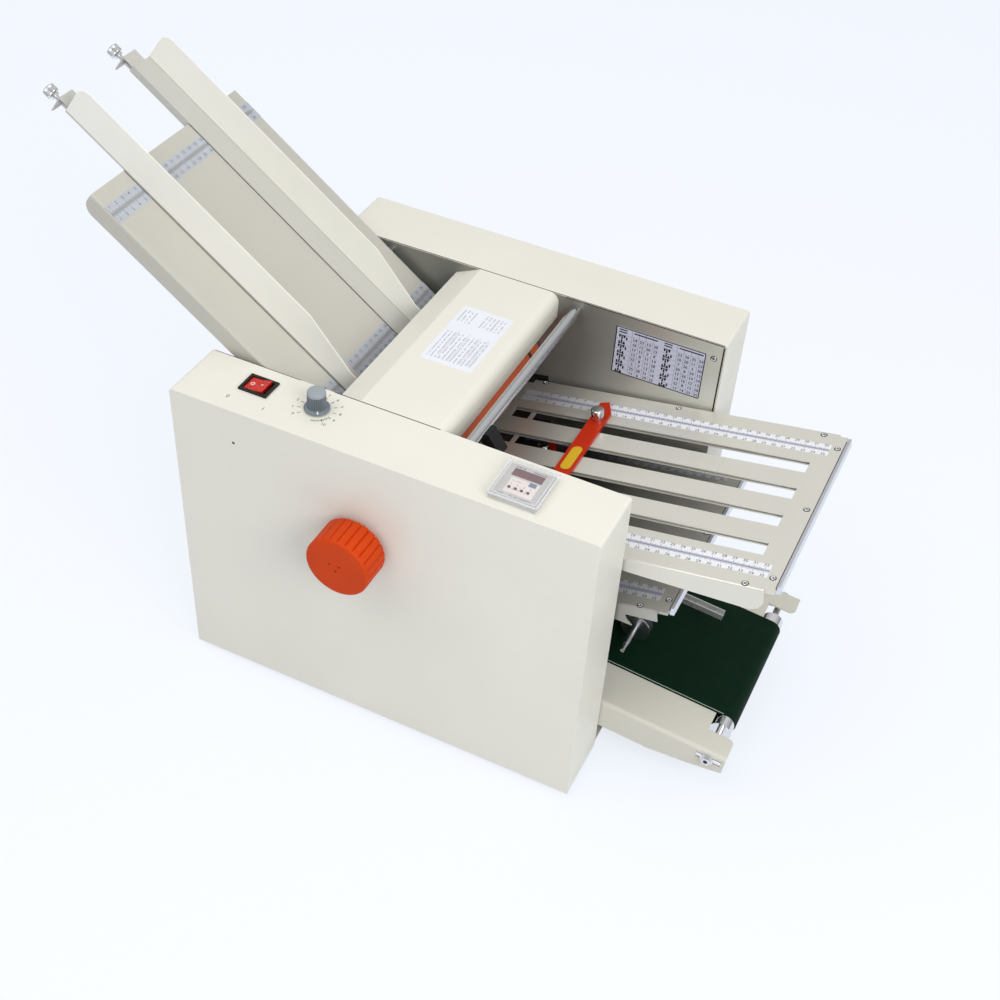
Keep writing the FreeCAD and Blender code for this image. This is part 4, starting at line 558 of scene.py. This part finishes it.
def trayRuler(name, low, middle, high):
    # strips right across the tray
    near, far = machine["near"] + 5.5, machine["far"] - 7.5
    centre, width = (near + far) / 2, far - near
    films = []
    for start, end in ((low, middle - 0.4), (middle + 0.4, high)):
        films.append(slab("tray", ((start + end) / 2, centre), (end - start, width), 0.3, 0, rulers["film"]))
    makePiece(name + "Film", films, trayFilm, "frame")
    makePiece(name + "Line", [slab("tray", (middle, centre), (0.8, width), 0.2, 0, 0.2)], creaseGrey, "frame")
    marks = []
    for sign in (1, -1):
        marks += rulerRow("tray", near + 4, 23, 1, middle + sign * 0.6, sign, False)
    makeMarks(name + "Marks", marks, greyInk)


trayRuler("trayTopRuler", 16.7, 27.0, 37.3)
trayRuler("trayLowRuler", 278.5, 289.0, 299.5)
print("rulers made")

# label on the hood and table on the far panel
label = {"x": (179.5, 235.0), "y": (160.5, 259.5), "corner": 2.5, "paper": 0.15, "ink": 0.17, "rows": 12,
         "rowStart": 5, "rowPitch": 4.1, "dashPitch": 1.55, "shortRows": (4, 5), "ruledRows": (2, 5, 8, 10)}
labelMiddle = (sum(label["x"]) / 2, sum(label["y"]) / 2)
labelSize = (label["x"][1] - label["x"][0], label["y"][1] - label["y"][0])
makePiece("hoodLabel", [slab("top", labelMiddle, labelSize, label["corner"], 0, label["paper"])], labelPaper,
          "frame")
dice = np.random.default_rng(7)
labelLines = []
for i in range(label["rows"]):
    # each row of dashes has a long part at one end and a short part at the other
    x = label["x"][0] + label["rowStart"] + i * label["rowPitch"]
    longPart = (label["y"][0] + 7, 46, 0.86)
    shortPart = (label["y"][1] - 27, 21, 0.72 if i % 3 else 0.95)
    for part in (longPart, shortPart):
        start, reach, chance = part
        run = start + np.arange(0, reach, label["dashPitch"])
        run = run[dice.random(len(run)) < chance]
        if i in label["shortRows"] and part is shortPart:
            continue
        tall = 0.55 + 0.35 * dice.random(len(run))
        level = np.full(len(run), label["ink"])
        centres = np.stack([x + 0.3 * dice.random(len(run)), run, level], -1)
        halves = np.stack([tall, np.full(len(run), 0.34), np.full(len(run), 0.02)], -1)
        labelLines.append(boxes("top", centres, halves))
    if i in label["ruledRows"]:
        between = x + label["rowPitch"] / 2
        labelLines.append(boxes("top", [(between, label["y"][0] + 32, label["ink"])], [(0.12, 25, 0.02)]))
makeMarks("hoodLabelLines", labelLines, paleInk)

table = {"x": (321.5, 420.0), "z": (280.0, 338.5), "margin": 0.6, "border": 0.55, "heading": 8.5, "rows": 8,
         "columns": (0, 17.5, 25.2, 32.9, 40.6, 48.3), "half": 0.51, "ink": 0.33, "grid": 0.32, "figure": 4.9}
tableMiddle = (sum(table["x"]) / 2, sum(table["z"]) / 2)
tableSize = (table["x"][1] - table["x"][0], table["z"][1] - table["z"][0])
makePiece("foldTable", [slab("farPanel", tableMiddle, tableSize, 1, 0, 0.3, 0.05)], tablePaper, "frame")


def tableBar(x, z, halfX, halfZ, level=table["ink"]):
    return boxes("farPanel", [(x, z, level)], [(halfX, halfZ, 0.02)])


left, right = table["x"][0] + table["margin"], table["x"][1] - table["margin"]
bottom, upper = table["z"][0] + table["margin"], table["z"][1] - table["margin"]
tablePrint, tableGrid = [], []
for z in (bottom, upper):
    tablePrint.append(tableBar((left + right) / 2, z, (right - left) / 2, table["border"]))
for x in (left, right):
    tablePrint.append(tableBar(x, (bottom + upper) / 2, table["border"], (upper - bottom) / 2))
rowsZ = np.linspace(bottom, upper - table["heading"], table["rows"] + 1)
for half in (0, 1):
    # each half has a column of fold pictures and four columns of figures under a heading bar
    start = left + half * (right - left) * table["half"]
    columns = start + np.array(table["columns"])
    for x in columns[1:5]:
        tableGrid.append(tableBar(x, (bottom + upper) / 2, 0.2, (upper - bottom) / 2, table["grid"]))
    for z in rowsZ[1:]:
        tableGrid.append(tableBar(start + 24, z, 24, 0.14, table["grid"]))
    tablePrint.append(tableBar(columns[1] + 15, upper - 3.2, 13, 0.75))
    for drop in (2.7, 5.6):
        tablePrint.append(tableBar(columns[0] + 7.5, upper - drop, 4.4, 0.7))
    for row in range(table["rows"]):
        z = (rowsZ[row] + rowsZ[row + 1]) / 2
        for k in range(3 + (row + half) % 2):
            shift = 0.9 if (k + row) % 2 else -0.9
            tablePrint.append(tableBar(columns[0] + 4.2 + 2.6 * k, z + shift, 0.85, 1.7))
        tablePrint.append(tableBar(columns[0] + 7.6, z + (1.7 if row % 2 else -1.7), 3.4, 0.55))
        for column in range(4):
            x = (columns[column + 1] + columns[column + 2]) / 2 - 0.3
            figures = str(dice.integers(5, 31))
            # printed twice, a hair apart, for a bold stroke
            for shift in (-0.16, 0.16):
                height = table["ink"] + 0.01 + shift / 10
                tablePrint.append(word("farPanel", figures, (x + shift, z), table["figure"], 0, height))
makeMarks("foldTablePrint", tablePrint, blackInk)
makeMarks("foldTableGrid", tableGrid, tealInk)
print("label and table made")

# screw heads as (along, across, radius) on each face
screws = {
    "upper": [(6, 320, 2.6), (159, 318, 2.4), (313, 318, 2.8), (332, 299, 2.6), (331, 198, 2.6),
              (331, 95, 2.6), (310, 80.5, 2.8), (6, 80.5, 2.6)],
    "lower": [(233, 79.5, 2.6), (256, 95, 2.6), (256, 200, 2.6), (256, 300, 2.6), (233, 320, 2.6)],
    "farPanel": [(428, 335, 2.8)],
}


def screwHead(face, x, y, radius, turn, rise=1.1):
    # dome over a disc with a crossed slot pressed in: height is a bowl minus two smooth bars
    rings, segments = 15, 60
    r = radius * np.concatenate([np.linspace(0, 1, rings - 2), [1.0, 1.0]])[:, None]
    angle = np.linspace(0, 2 * math.pi, segments, endpoint=False)[None, :]
    a, b = r * np.cos(angle), r * np.sin(angle)
    height = rise * (0.45 + 0.55 * np.sqrt(np.clip(1 - (r / radius) ** 2, 0, 1))) + 0 * a
    c, s = math.cos(turn), math.sin(turn)
    p, q = a * c + b * s, -a * s + b * c

    def bar(acrossBar, alongBar):
        side = np.clip((0.16 * radius - np.abs(acrossBar)) / (0.12 * radius) + 0.5, 0, 1)
        end = np.clip((0.62 * radius - np.abs(alongBar)) / (0.12 * radius) + 0.5, 0, 1)
        return side * end

    height -= 0.75 * rise * np.maximum(bar(p, q), bar(q, p))
    height[-1] = 0
    points = np.stack([x + a, y + b, height], -1)
    base = np.tile([x, y, 0.0], (1, segments, 1))
    return place(face, np.concatenate([points, base])), gridFaces(rings + 1, segments)


heads, rings, crosses = [], [], []
for face, spots in screws.items():
    for i, (x, y, radius) in enumerate(spots):
        turn = 0.4 + 0.7 * i
        heads.append(screwHead(face, x, y, radius, turn))
        ring = [(0, radius), (0.12, radius + 0.1), (0.12, radius + 0.7), (0, radius + 0.7)]
        rings.append(turnedPart(face, "out", (x, y, 0), ring, 24))
        for size in ((radius * 1.2, 0.5), (0.5, radius * 1.2)):
            crosses.append(slab(face, (x, y), size, 0.05, 0.2, 0.42, 0, math.degrees(turn)))
makePiece("panelScrews", heads, chrome, "frame", sharp=40)
makeMarks("screwShadows", rings + crosses, shadeLine)

dial = {"x": 135.5, "y": 41.5, "inner": 15.5, "outer": 19.0, "figureLine": 23.0, "figure": 4.6, "ink": 0.06,
        "start": 225, "step": 27, "combStart": -78, "combStep": 2.6, "combLine": 16.6, "switchFigure": 6.5}


def onDial(away, degrees):
    # a spot on the top face, some way from the dial's centre in a direction
    turn = math.radians(degrees)
    return dial["x"] + away * math.cos(turn), dial["y"] + away * math.sin(turn)


dialPrint = []
for i in range(11):
    degrees = dial["start"] - dial["step"] * i
    middle, length = (dial["inner"] + dial["outer"]) / 2, dial["outer"] - dial["inner"]
    dialPrint.append(slab("top", onDial(middle, degrees), (length, 0.6), 0.1, 0, dial["ink"], turn=degrees))
    dialPrint.append(word("top", str(i), onDial(dial["figureLine"], degrees), dial["figure"], 0, dial["ink"]))
for i in range(22):
    # fine comb beside the last figures, every third tick longer
    degrees, extra = dial["combStart"] + dial["combStep"] * i, 0.5 if i % 3 == 0 else 0
    spot = onDial(dial["combLine"] + extra, degrees)
    dialPrint.append(slab("top", spot, (1.6 + 2 * extra, 0.3), 0.1, 0, 0.07, turn=degrees))
for text, spot in (("0", (53.5, 17.5)), ("I", (92, 17.3))):
    dialPrint.append(word("top", text, spot, dial["switchFigure"], 0, dial["ink"]))
makeMarks("controlPrint", dialPrint, blackInk)

knobShape = {"ribs": 26, "ribLow": 4.2, "ribHigh": 17.6, "depth": 0.75, "pointerTurn": -56,
             "pointerAway": 10.6}


def ribbed(angle, distance, radius):
    # even ribs on the lower part of the grip only
    on = ((distance > knobShape["ribLow"]) & (distance < knobShape["ribHigh"])).astype(float)
    return radius + on * knobShape["depth"] * np.cos(knobShape["ribs"] * angle)


# profiles are (distance along the axis, radius)
speedProfile = [(1.6, 0), (1.6, 12.0), (1.9, 12.4), (3.0, 12.4), (3.6, 11.9), (4.1, 10.2), (4.3, 8.7),
                (6, 8.6), (9, 8.4), (12, 8.3), (17.5, 8.1), (17.8, 7.8), (17.9, 0)]
capProfile = [(17.8, 0), (17.8, 8.4), (18.1, 8.9), (20.8, 8.7), (21.5, 8.2), (21.9, 7.2), (22.0, 5.4),
              (21.8, 0)]
dialCentre = (dial["x"], dial["y"], 0)
speedKnob = makePiece("speedKnobGrip", [turnedPart("top", "out", dialCentre, speedProfile, 156, ribbed)],
                      greyCase, "speed_dial", sharp=50)
makePiece("speedKnobCap", [turnedPart("top", "out", dialCentre, capProfile, 64)], capGrey, "speed_dial")
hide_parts("speed_knob")
pointer = onDial(knobShape["pointerAway"], knobShape["pointerTurn"])
makePiece("speedPointer", [slab("top", pointer, (3.6, 1.5), 0.5, 3.4, 4.6, 0.1, knobShape["pointerTurn"])],
          whiteInk, "speed_dial")
rockerMarks = {"ring": (-5.6, 43.5, 6.05), "inner": 1.4, "outer": 2.2, "rise": 0.18, "bar": (4.4, 44.5),
               "barSize": (2.8, 0.7)}
inner, outer, rise = rockerMarks["inner"], rockerMarks["outer"], rockerMarks["rise"]
ring = [(0, inner), (rise, inner), (rise, outer), (0, outer)]
rockerPrint = [turnedPart("rocker", "out", rockerMarks["ring"], ring, 32),
               slab("rocker", rockerMarks["bar"], rockerMarks["barSize"], 0.3, 5.9, 6.15)]
makePiece("rockerPrint", rockerPrint, whiteInk, "power_rocker")

# counter face under the lid
counter = {"x": 350.5, "y": 34.0, "face": 4.0, "lidTop": 7.99, "outerRim": (23.9, 25.4),
           "innerRim": (20.9, 22.2)}
counterFace = counter["face"]
makePiece("counterCard", [slab("top", (350.0, 30.5), (27.5, 20.5), 1.0, counterFace, counterFace + 0.12)],
          counterCard, "frame")
display = slab("top", (349.0, 48.0), (29.5, 9.8), 0.6, counterFace, counterFace + 0.5, 0.1)
makePiece("counterDisplay", [display], displayRed, "frame")
counterPrint = []
for i, x in enumerate((339.6, 345.8, 351.8, 358.0)):
    counterPrint.append(word("top", str(i + 1), (x, 32.0), 3.2, 0, counterFace + 0.14))
dashRows = ((335.0, 55.2, 9), (352.0, 55.0, 12), (333.5, 16.6, 33), (339.0, 37.0, 8), (338.0, 26.0, 22))
for start, y, reach in dashRows:
    run = start + np.arange(0, reach, 1.3)
    run = run[dice.random(len(run)) < 0.8]
    level = np.full(len(run), counterFace + 0.13)
    counterPrint.append(boxes("top", np.stack([run, np.full(len(run), y), level], -1),
                              np.tile([0.38, 0.75 if y > 50 or y < 20 else 0.4, 0.01], (len(run), 1))))
makeMarks("counterPrint", counterPrint, greyInk)
rimBars = []
for (halfX, halfY), thick, low in ((counter["outerRim"], 0.5, 0.6), (counter["innerRim"], 0.35, 0.2)):
    height = counter["lidTop"] - low
    for sign in (-1, 1):
        rimBars.append(boxes("top", [(counter["x"] + sign * halfX, counter["y"], height)],
                             [(thick, halfY + thick, low)]))
        rimBars.append(boxes("top", [(counter["x"], counter["y"] + sign * halfY, height)],
                             [(halfX + thick, thick, low)]))
makePiece("counterLidRim", rimBars, rimClear, "counter_lid", merge=False)
print("controls made")

grip = {"x": 201.5, "z": 249.0, "radius": 33.0, "front": 41.0, "back": 6.0, "grooves": 24, "groove": 2.6,
        "depth": 1.7, "plain": 4.0, "pits": ((-7.6, 2.0), (3.0, 2.4), (-1.0, -4.6))}


def grooved(angle, distance, radius):
    # narrow grooves with wide lands: the radius drops by a raised cosine near each groove's middle only
    pitch = 2 * math.pi / grip["grooves"]
    away = np.abs((angle + pitch / 2) % pitch - pitch / 2) * grip["radius"]
    dip = 0.5 + 0.5 * np.cos(np.clip(away / (grip["groove"] / 2), 0, 1) * math.pi)
    fade = np.clip((grip["front"] - distance - 1.2) / grip["plain"], 0, 1) ** 0.6
    onGrip = (radius > grip["radius"] - 2.5) & (distance > grip["back"] - 0.5)
    return radius - grip["depth"] * dip * fade * onGrip


front, back, rim = grip["front"], grip["back"], grip["radius"]
gripProfile = [(front - 0.5, 0), (front - 0.45, 10), (front - 0.3, 20), (front, 28.5), (front - 0.1, 30.6),
               (front - 0.6, 31.9), (front - 1.4, 32.7), (front - 2.4, rim), (front - 4, rim),
               (front - 6, rim), (front - 9, rim), (front - 20, rim), (back + 1.4, rim), (back + 0.4, 32.5),
               (back, 31.6), (back, 22), (back, 13), (3, 13), (0.7, 13), (0.7, 6.2), (0.7, 0)]
gripPart = turnedPart("nearFace", "out", (grip["x"], grip["z"], 0), gripProfile, 432, grooved)
handGrip = makePiece("handKnobGrip", [gripPart], orangeCase, "first_roller", sharp=45)
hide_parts("hand_knob")
pits = [turnedPart("nearFace", "out", (grip["x"] + x, grip["z"] + z, front - 0.52),
                   [(0.0, 0), (0.09, 0.9), (0.06, 1.2), (0, 1.3)], 20) for x, z in grip["pits"]]
makePiece("handKnobPits", pits, pitDark, "first_roller")

guide = {"nearWall": machine["near"] + 56.1, "farWall": machine["far"] - 65.3, "foot": 27,
         "channelMiddle": 17, "footLength": 304}
thumb = {"start": -108.0, "drop": -12.5, "knurls": 30, "knurlDepth": 0.3}
guideScrews = {"near": (guide["nearWall"] + guide["channelMiddle"], "near_guide_screw", "near_screw"),
               "far": (guide["farWall"] - guide["channelMiddle"], "far_guide_screw", "far_screw")}
thumbProfile = [(0, 0), (0, 4.2), (0.5, 5.4), (1.0, 6.4), (1.6, 6.8), (4, 6.8), (7.5, 6.8), (8.6, 6.6),
                (9.4, 5.6), (9.9, 4.5), (12, 4.4), (12.05, 2.5), (20, 2.5), (28, 2.5), (46.8, 2.5), (47, 0)]


def knurled(angle, distance, radius):
    # fine even grooves on the widest part
    return radius - thumb["knurlDepth"] * (radius > 5.9) * (0.5 + 0.5 * np.cos(thumb["knurls"] * angle))


for side, (y, node, body) in guideScrews.items():
    screw = turnedPart("tray", "along", (thumb["start"], y, thumb["drop"]), thumbProfile, 120, knurled)
    piece = makePiece(side + "ThumbScrew", [screw], chrome, body, sharp=40)
    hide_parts(node)

# where each stop's knob and oval stand along its plate and across the machine
stop = {"knobs": (("upper", 88), ("lower", 46)), "knobY": machine["far"] - 57.3,
        "ovals": (("upper", 88.5), ("lower", 46.5)), "ovalY": 200, "ovalSize": (11, 39), "ovalCorner": 5.4,
        "ovalFoot": 3.4, "ovalTop": 3.5}
stopKnobProfile = [(3.5, 0), (3.5, 5.4), (3.8, 5.9), (6.2, 5.9), (6.6, 5.4), (6.6, 4.6), (7.4, 4.6),
                   (7.6, 6.4), (8.2, 6.9), (9, 7.0), (14.6, 7.0), (15.6, 6.8), (16.3, 6.1), (16.5, 5.0),
                   (16.4, 0)]
stopShankProfile = [(0.2, 0), (0.2, 2.0), (3.5, 2.0), (3.5, 0)]
for face, alongPlate in stop["knobs"]:
    middle = (alongPlate, stop["knobY"], 0)
    knob = [turnedPart(face, "out", middle, stopKnobProfile, 72),
            turnedPart(face, "out", middle, stopShankProfile, 32)]
    piece = makePiece(face + "StopKnobCap", knob, chrome, face + "_stop_screw", sharp=40)
    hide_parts(face + "_stop_knob")
for face, alongPlate in stop["ovals"]:
    oval = slab(face, (alongPlate, stop["ovalY"]), stop["ovalSize"], stop["ovalCorner"], stop["ovalFoot"],
                stop["ovalTop"])
    makePiece(face + "StopOval", [oval], ovalYellow, face + "_paper_stop")
# a small dark spot on the control side's cover
spot = turnedPart("nearFace", "out", (68.2, 315.5, 0), [(0, 0), (0, 1.6), (0.12, 1.5), (0.15, 0)], 24)
makePiece("coverMark", [spot], darkSteel, "frame")
print("knobs and screws made")

hood = {"edge": (136.0, -13.4), "bend": 164.5, "bendRadius": 5.0, "front": 255.3, "radius": 11.0, "lip": 28.6,
        "sheet": 1.2, "near": 71.7, "far": 327.0}


def bentProfile():
    # outer line of the sheet: slope, soft bend, flat, quarter circle and lip
    front, radius = hood["front"], hood["radius"]
    slope = math.atan2(-hood["edge"][1], hood["bend"] - hood["edge"][0])
    reach = hood["bendRadius"] * math.tan(slope / 2)
    line = [hood["edge"]]
    for t in np.linspace(0, 1, 7):
        turn = slope * (1 - t)
        line.append((hood["bend"] + reach - hood["bendRadius"] * math.sin(turn),
                     hood["bendRadius"] * (math.cos(turn) - 1)))
    for t in np.linspace(0, math.pi / 2, 17):
        line.append((front - radius + radius * math.sin(t), radius * (math.cos(t) - 1)))
    line.append((front, -hood["lip"]))
    return np.array(line)


def bentSheet():
    # the line and its copy one sheet inward make a loop, carried across and shut on the middle line
    outer = bentProfile()
    along = np.gradient(outer, axis=0)
    along /= np.linalg.norm(along, axis=1, keepdims=True)
    inner = outer + hood["sheet"] * np.stack([along[:, 1], -along[:, 0]], -1)
    middle = (outer + inner) / 2
    loop, shut = np.concatenate([outer, inner[::-1]]), np.concatenate([middle, middle[::-1]])
    rings = []
    for section, y in ((shut, hood["near"]), (loop, hood["near"]), (loop, hood["far"]), (shut, hood["far"])):
        rings.append(np.stack([section[:, 0], np.full(len(section), y), section[:, 1]], -1))
    return place("top", np.stack(rings)), gridFaces(4, len(loop))


hoodSheet = makePiece("hoodSheet", [bentSheet()], ivory, "frame", sharp=30)
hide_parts("hood")
bar = {"x": 276.0, "drop": -12.4, "radius": 6.0, "edge": 0.4, "length": machine["far"] - machine["near"]}
radius, edge, end = bar["radius"], bar["edge"], bar["length"]
barProfile = [(0.0, 0), (0.0, radius - edge), (edge, radius), (60, radius), (128, radius), (196, radius),
              (end - edge, radius), (end, radius - edge), (end, 0)]
shaft = turnedPart("top", "across", (bar["x"], machine["near"], bar["drop"]), barProfile, 64)
tieShaft = makePiece("tieBarShaft", [shaft], barChrome, "frame")
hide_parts("tie_bar")
# painted shade in gaps, as (centre, half size): dark strips between hood and covers, round the far panel, and
# along the tension slot
shadeSeamLines = {
    "top": [((193, 71.35, 0.04), (56, 0.5, 0.02)), ((137, 327.35, 0.04), (118, 0.5, 0.02)),
            ((346, 327.45, 0.04), (91.5, 0.45, 0.02)), ((52, 71.3, 0.04), (48, 0.35, 0.02))],
    "farPanel": [((437.0, 306, 0.06), (0.8, 45, 0.04)), ((350, 352.6, 0.06), (87, 0.5, 0.04))],
    "conveyor": [((116.7, 72.9, -6.9), (13.5, 0.06, 0.3)), ((116.7, 72.9, -13.4), (13.5, 0.06, 0.2))],
}
shadeSeams = [boxes(face, *zip(*lines)) for face, lines in shadeSeamLines.items()]
# painted shade in the bolt's socket
boltSocket = [(0, 0), (0, 2.3), (0.08, 2.4), (0.14, 0)]
shadeSeams.append(turnedPart("conveyor", "across", (115.3, 67.9, -10.15), boltSocket, 16))
makeMarks("coverShadeSeams", shadeSeams, shadeLine)
footHalf = guide["footLength"] / 2
for side, y in (("near", guide["nearWall"] - 0.35), ("far", guide["farWall"] - guide["foot"] - 0.35)):
    # shadow gap where the guide stands on the tray
    gap = boxes("tray", [(footHalf, y, 0.24)], [(footHalf, 0.3, 0.04)])
    makeMarks(side + "GuideGap", [gap], shadeLine, side + "_side_guide")
makePiece("beltCutEdge", [boxes("conveyor", [(-60, 125.15, 1.9)], [(172, 0.18, 0.5)])], edgePale, "frame",
          merge=False)

studio = {"floorTone": (0.64, 0.66, 0.715, 1), "floorGlow": (0.90, 0.935, 1.0, 1), "glow": 0.80,
          "floorShare": 0.34, "floorHalf": 6.0, "ambient": 0.61, "horizon": (0.5, 0.5, 0.515, 1),
          "overhead": (1.24, 1.24, 1.23, 1), "backdrop": (0.88, 0.91, 0.99, 1)}
lamps = {"keyLamp": {"place": (-0.6, -0.9, 2.4), "aim": (0, 0, 0.2), "size": 1.6, "power": 14},
         "fillLamp": {"place": (1.8, -1.3, 1.6), "aim": (0.1, 0, 0.2), "size": 1.3, "power": 28}}
lens = {"x": 710.430, "y": -872.141, "z": 1226.767, "turn": (47.612332, -3.140381, 25.685037), "sensor": 36.0,
        "length": 1.482395}


def makeFloor():
    # pale paper: plain for the light it bounces, darker with a glow where it is seen
    mesh = bpy.data.meshes.new("floor")
    half = studio["floorHalf"]
    corners = [(-half, -half, 0), (half, -half, 0), (half, half, 0), (-half, half, 0)]
    mesh.from_pydata(corners, [], [(0, 1, 2, 3)])
    floor = bpy.data.objects.new("floor", mesh)
    bpy.context.scene.collection.objects.link(floor)
    material = bpy.data.materials.new("floorPaper")
    material.use_nodes = True
    tree = material.node_tree
    tree.nodes.clear()
    out = tree.nodes.new("ShaderNodeOutputMaterial")
    path = tree.nodes.new("ShaderNodeLightPath")
    seen = path.outputs["Is Camera Ray"]
    for kind in ("Is Glossy Ray", "Is Transmission Ray"):
        either = tree.nodes.new("ShaderNodeMath")
        either.operation = "MAXIMUM"
        tree.links.new(seen, either.inputs[0])
        tree.links.new(path.outputs[kind], either.inputs[1])
        seen = either.outputs[0]
    plain = tree.nodes.new("ShaderNodeBsdfDiffuse")
    plain.inputs["Color"].default_value = studio["floorTone"]
    shown = tree.nodes.new("ShaderNodeBsdfDiffuse")
    shown.inputs["Color"].default_value = shade(studio["floorTone"], studio["floorShare"])
    glow = tree.nodes.new("ShaderNodeEmission")
    glow.inputs["Color"].default_value = studio["floorGlow"]
    glow.inputs["Strength"].default_value = studio["glow"]
    add = tree.nodes.new("ShaderNodeAddShader")
    choose = tree.nodes.new("ShaderNodeMixShader")
    tree.links.new(shown.outputs[0], add.inputs[0])
    tree.links.new(glow.outputs[0], add.inputs[1])
    tree.links.new(seen, choose.inputs[0])
    tree.links.new(plain.outputs[0], choose.inputs[1])
    tree.links.new(add.outputs[0], choose.inputs[2])
    tree.links.new(choose.outputs[0], out.inputs["Surface"])
    mesh.materials.append(material)


def makeWorld():
    world = bpy.data.worlds.new("studioWorld")
    bpy.context.scene.world = world
    world.use_nodes = True
    tree = world.node_tree
    tree.nodes.clear()
    out = tree.nodes.new("ShaderNodeOutputWorld")
    path = tree.nodes.new("ShaderNodeLightPath")
    # light grows from the horizon to overhead
    lit = tree.nodes.new("ShaderNodeBackground")
    lit.inputs["Strength"].default_value = studio["ambient"]
    direction = tree.nodes.new("ShaderNodeTexCoord")
    split = tree.nodes.new("ShaderNodeSeparateXYZ")
    tree.links.new(direction.outputs["Generated"], split.inputs[0])
    rise = tree.nodes.new("ShaderNodeValToRGB")
    for stop, (position, colour) in enumerate(((0.1, studio["horizon"]), (0.72, studio["overhead"]))):
        rise.color_ramp.elements[stop].position = position
        rise.color_ramp.elements[stop].color = colour
    tree.links.new(split.outputs["Z"], rise.inputs["Fac"])
    tree.links.new(rise.outputs["Color"], lit.inputs["Color"])
    seen = tree.nodes.new("ShaderNodeBackground")
    seen.inputs["Color"].default_value = studio["backdrop"]
    seen.inputs["Strength"].default_value = 1.0
    choose = tree.nodes.new("ShaderNodeMixShader")
    tree.links.new(path.outputs["Is Camera Ray"], choose.inputs[0])
    tree.links.new(lit.outputs[0], choose.inputs[1])
    tree.links.new(seen.outputs[0], choose.inputs[2])
    tree.links.new(choose.outputs[0], out.inputs["Surface"])


def makeLamp(name, place, aim, size, power):
    # square soft lamp turned toward a spot
    lamp = bpy.data.lights.new(name, "AREA")
    lamp.shape = "RECTANGLE"
    lamp.size, lamp.size_y = size, size
    lamp.energy = power
    carrier = bpy.data.objects.new(name, lamp)
    bpy.context.scene.collection.objects.link(carrier)
    carrier.location = place
    carrier.rotation_euler = (Vector(aim) - Vector(place)).to_track_quat("-Z", "Y").to_euler()


def makeCamera():
    data = bpy.data.cameras.new("camera")
    data.sensor_width = lens["sensor"]
    data.sensor_fit = "HORIZONTAL"
    data.lens = lens["sensor"] * lens["length"]
    data.clip_end = 50
    camera = bpy.data.objects.new("camera", data)
    bpy.context.scene.collection.objects.link(camera)
    camera.location = (alongX(lens["x"]), across(lens["y"]), lens["z"] / 1000)
    camera.rotation_euler = [math.radians(a) for a in lens["turn"]]
    bpy.context.scene.camera = camera


makeFloor()
makeWorld()
for lampName, lamp in lamps.items():
    makeLamp(lampName, **lamp)
makeCamera()
bpy.context.scene.view_settings.view_transform = "Standard"
print("studio made")
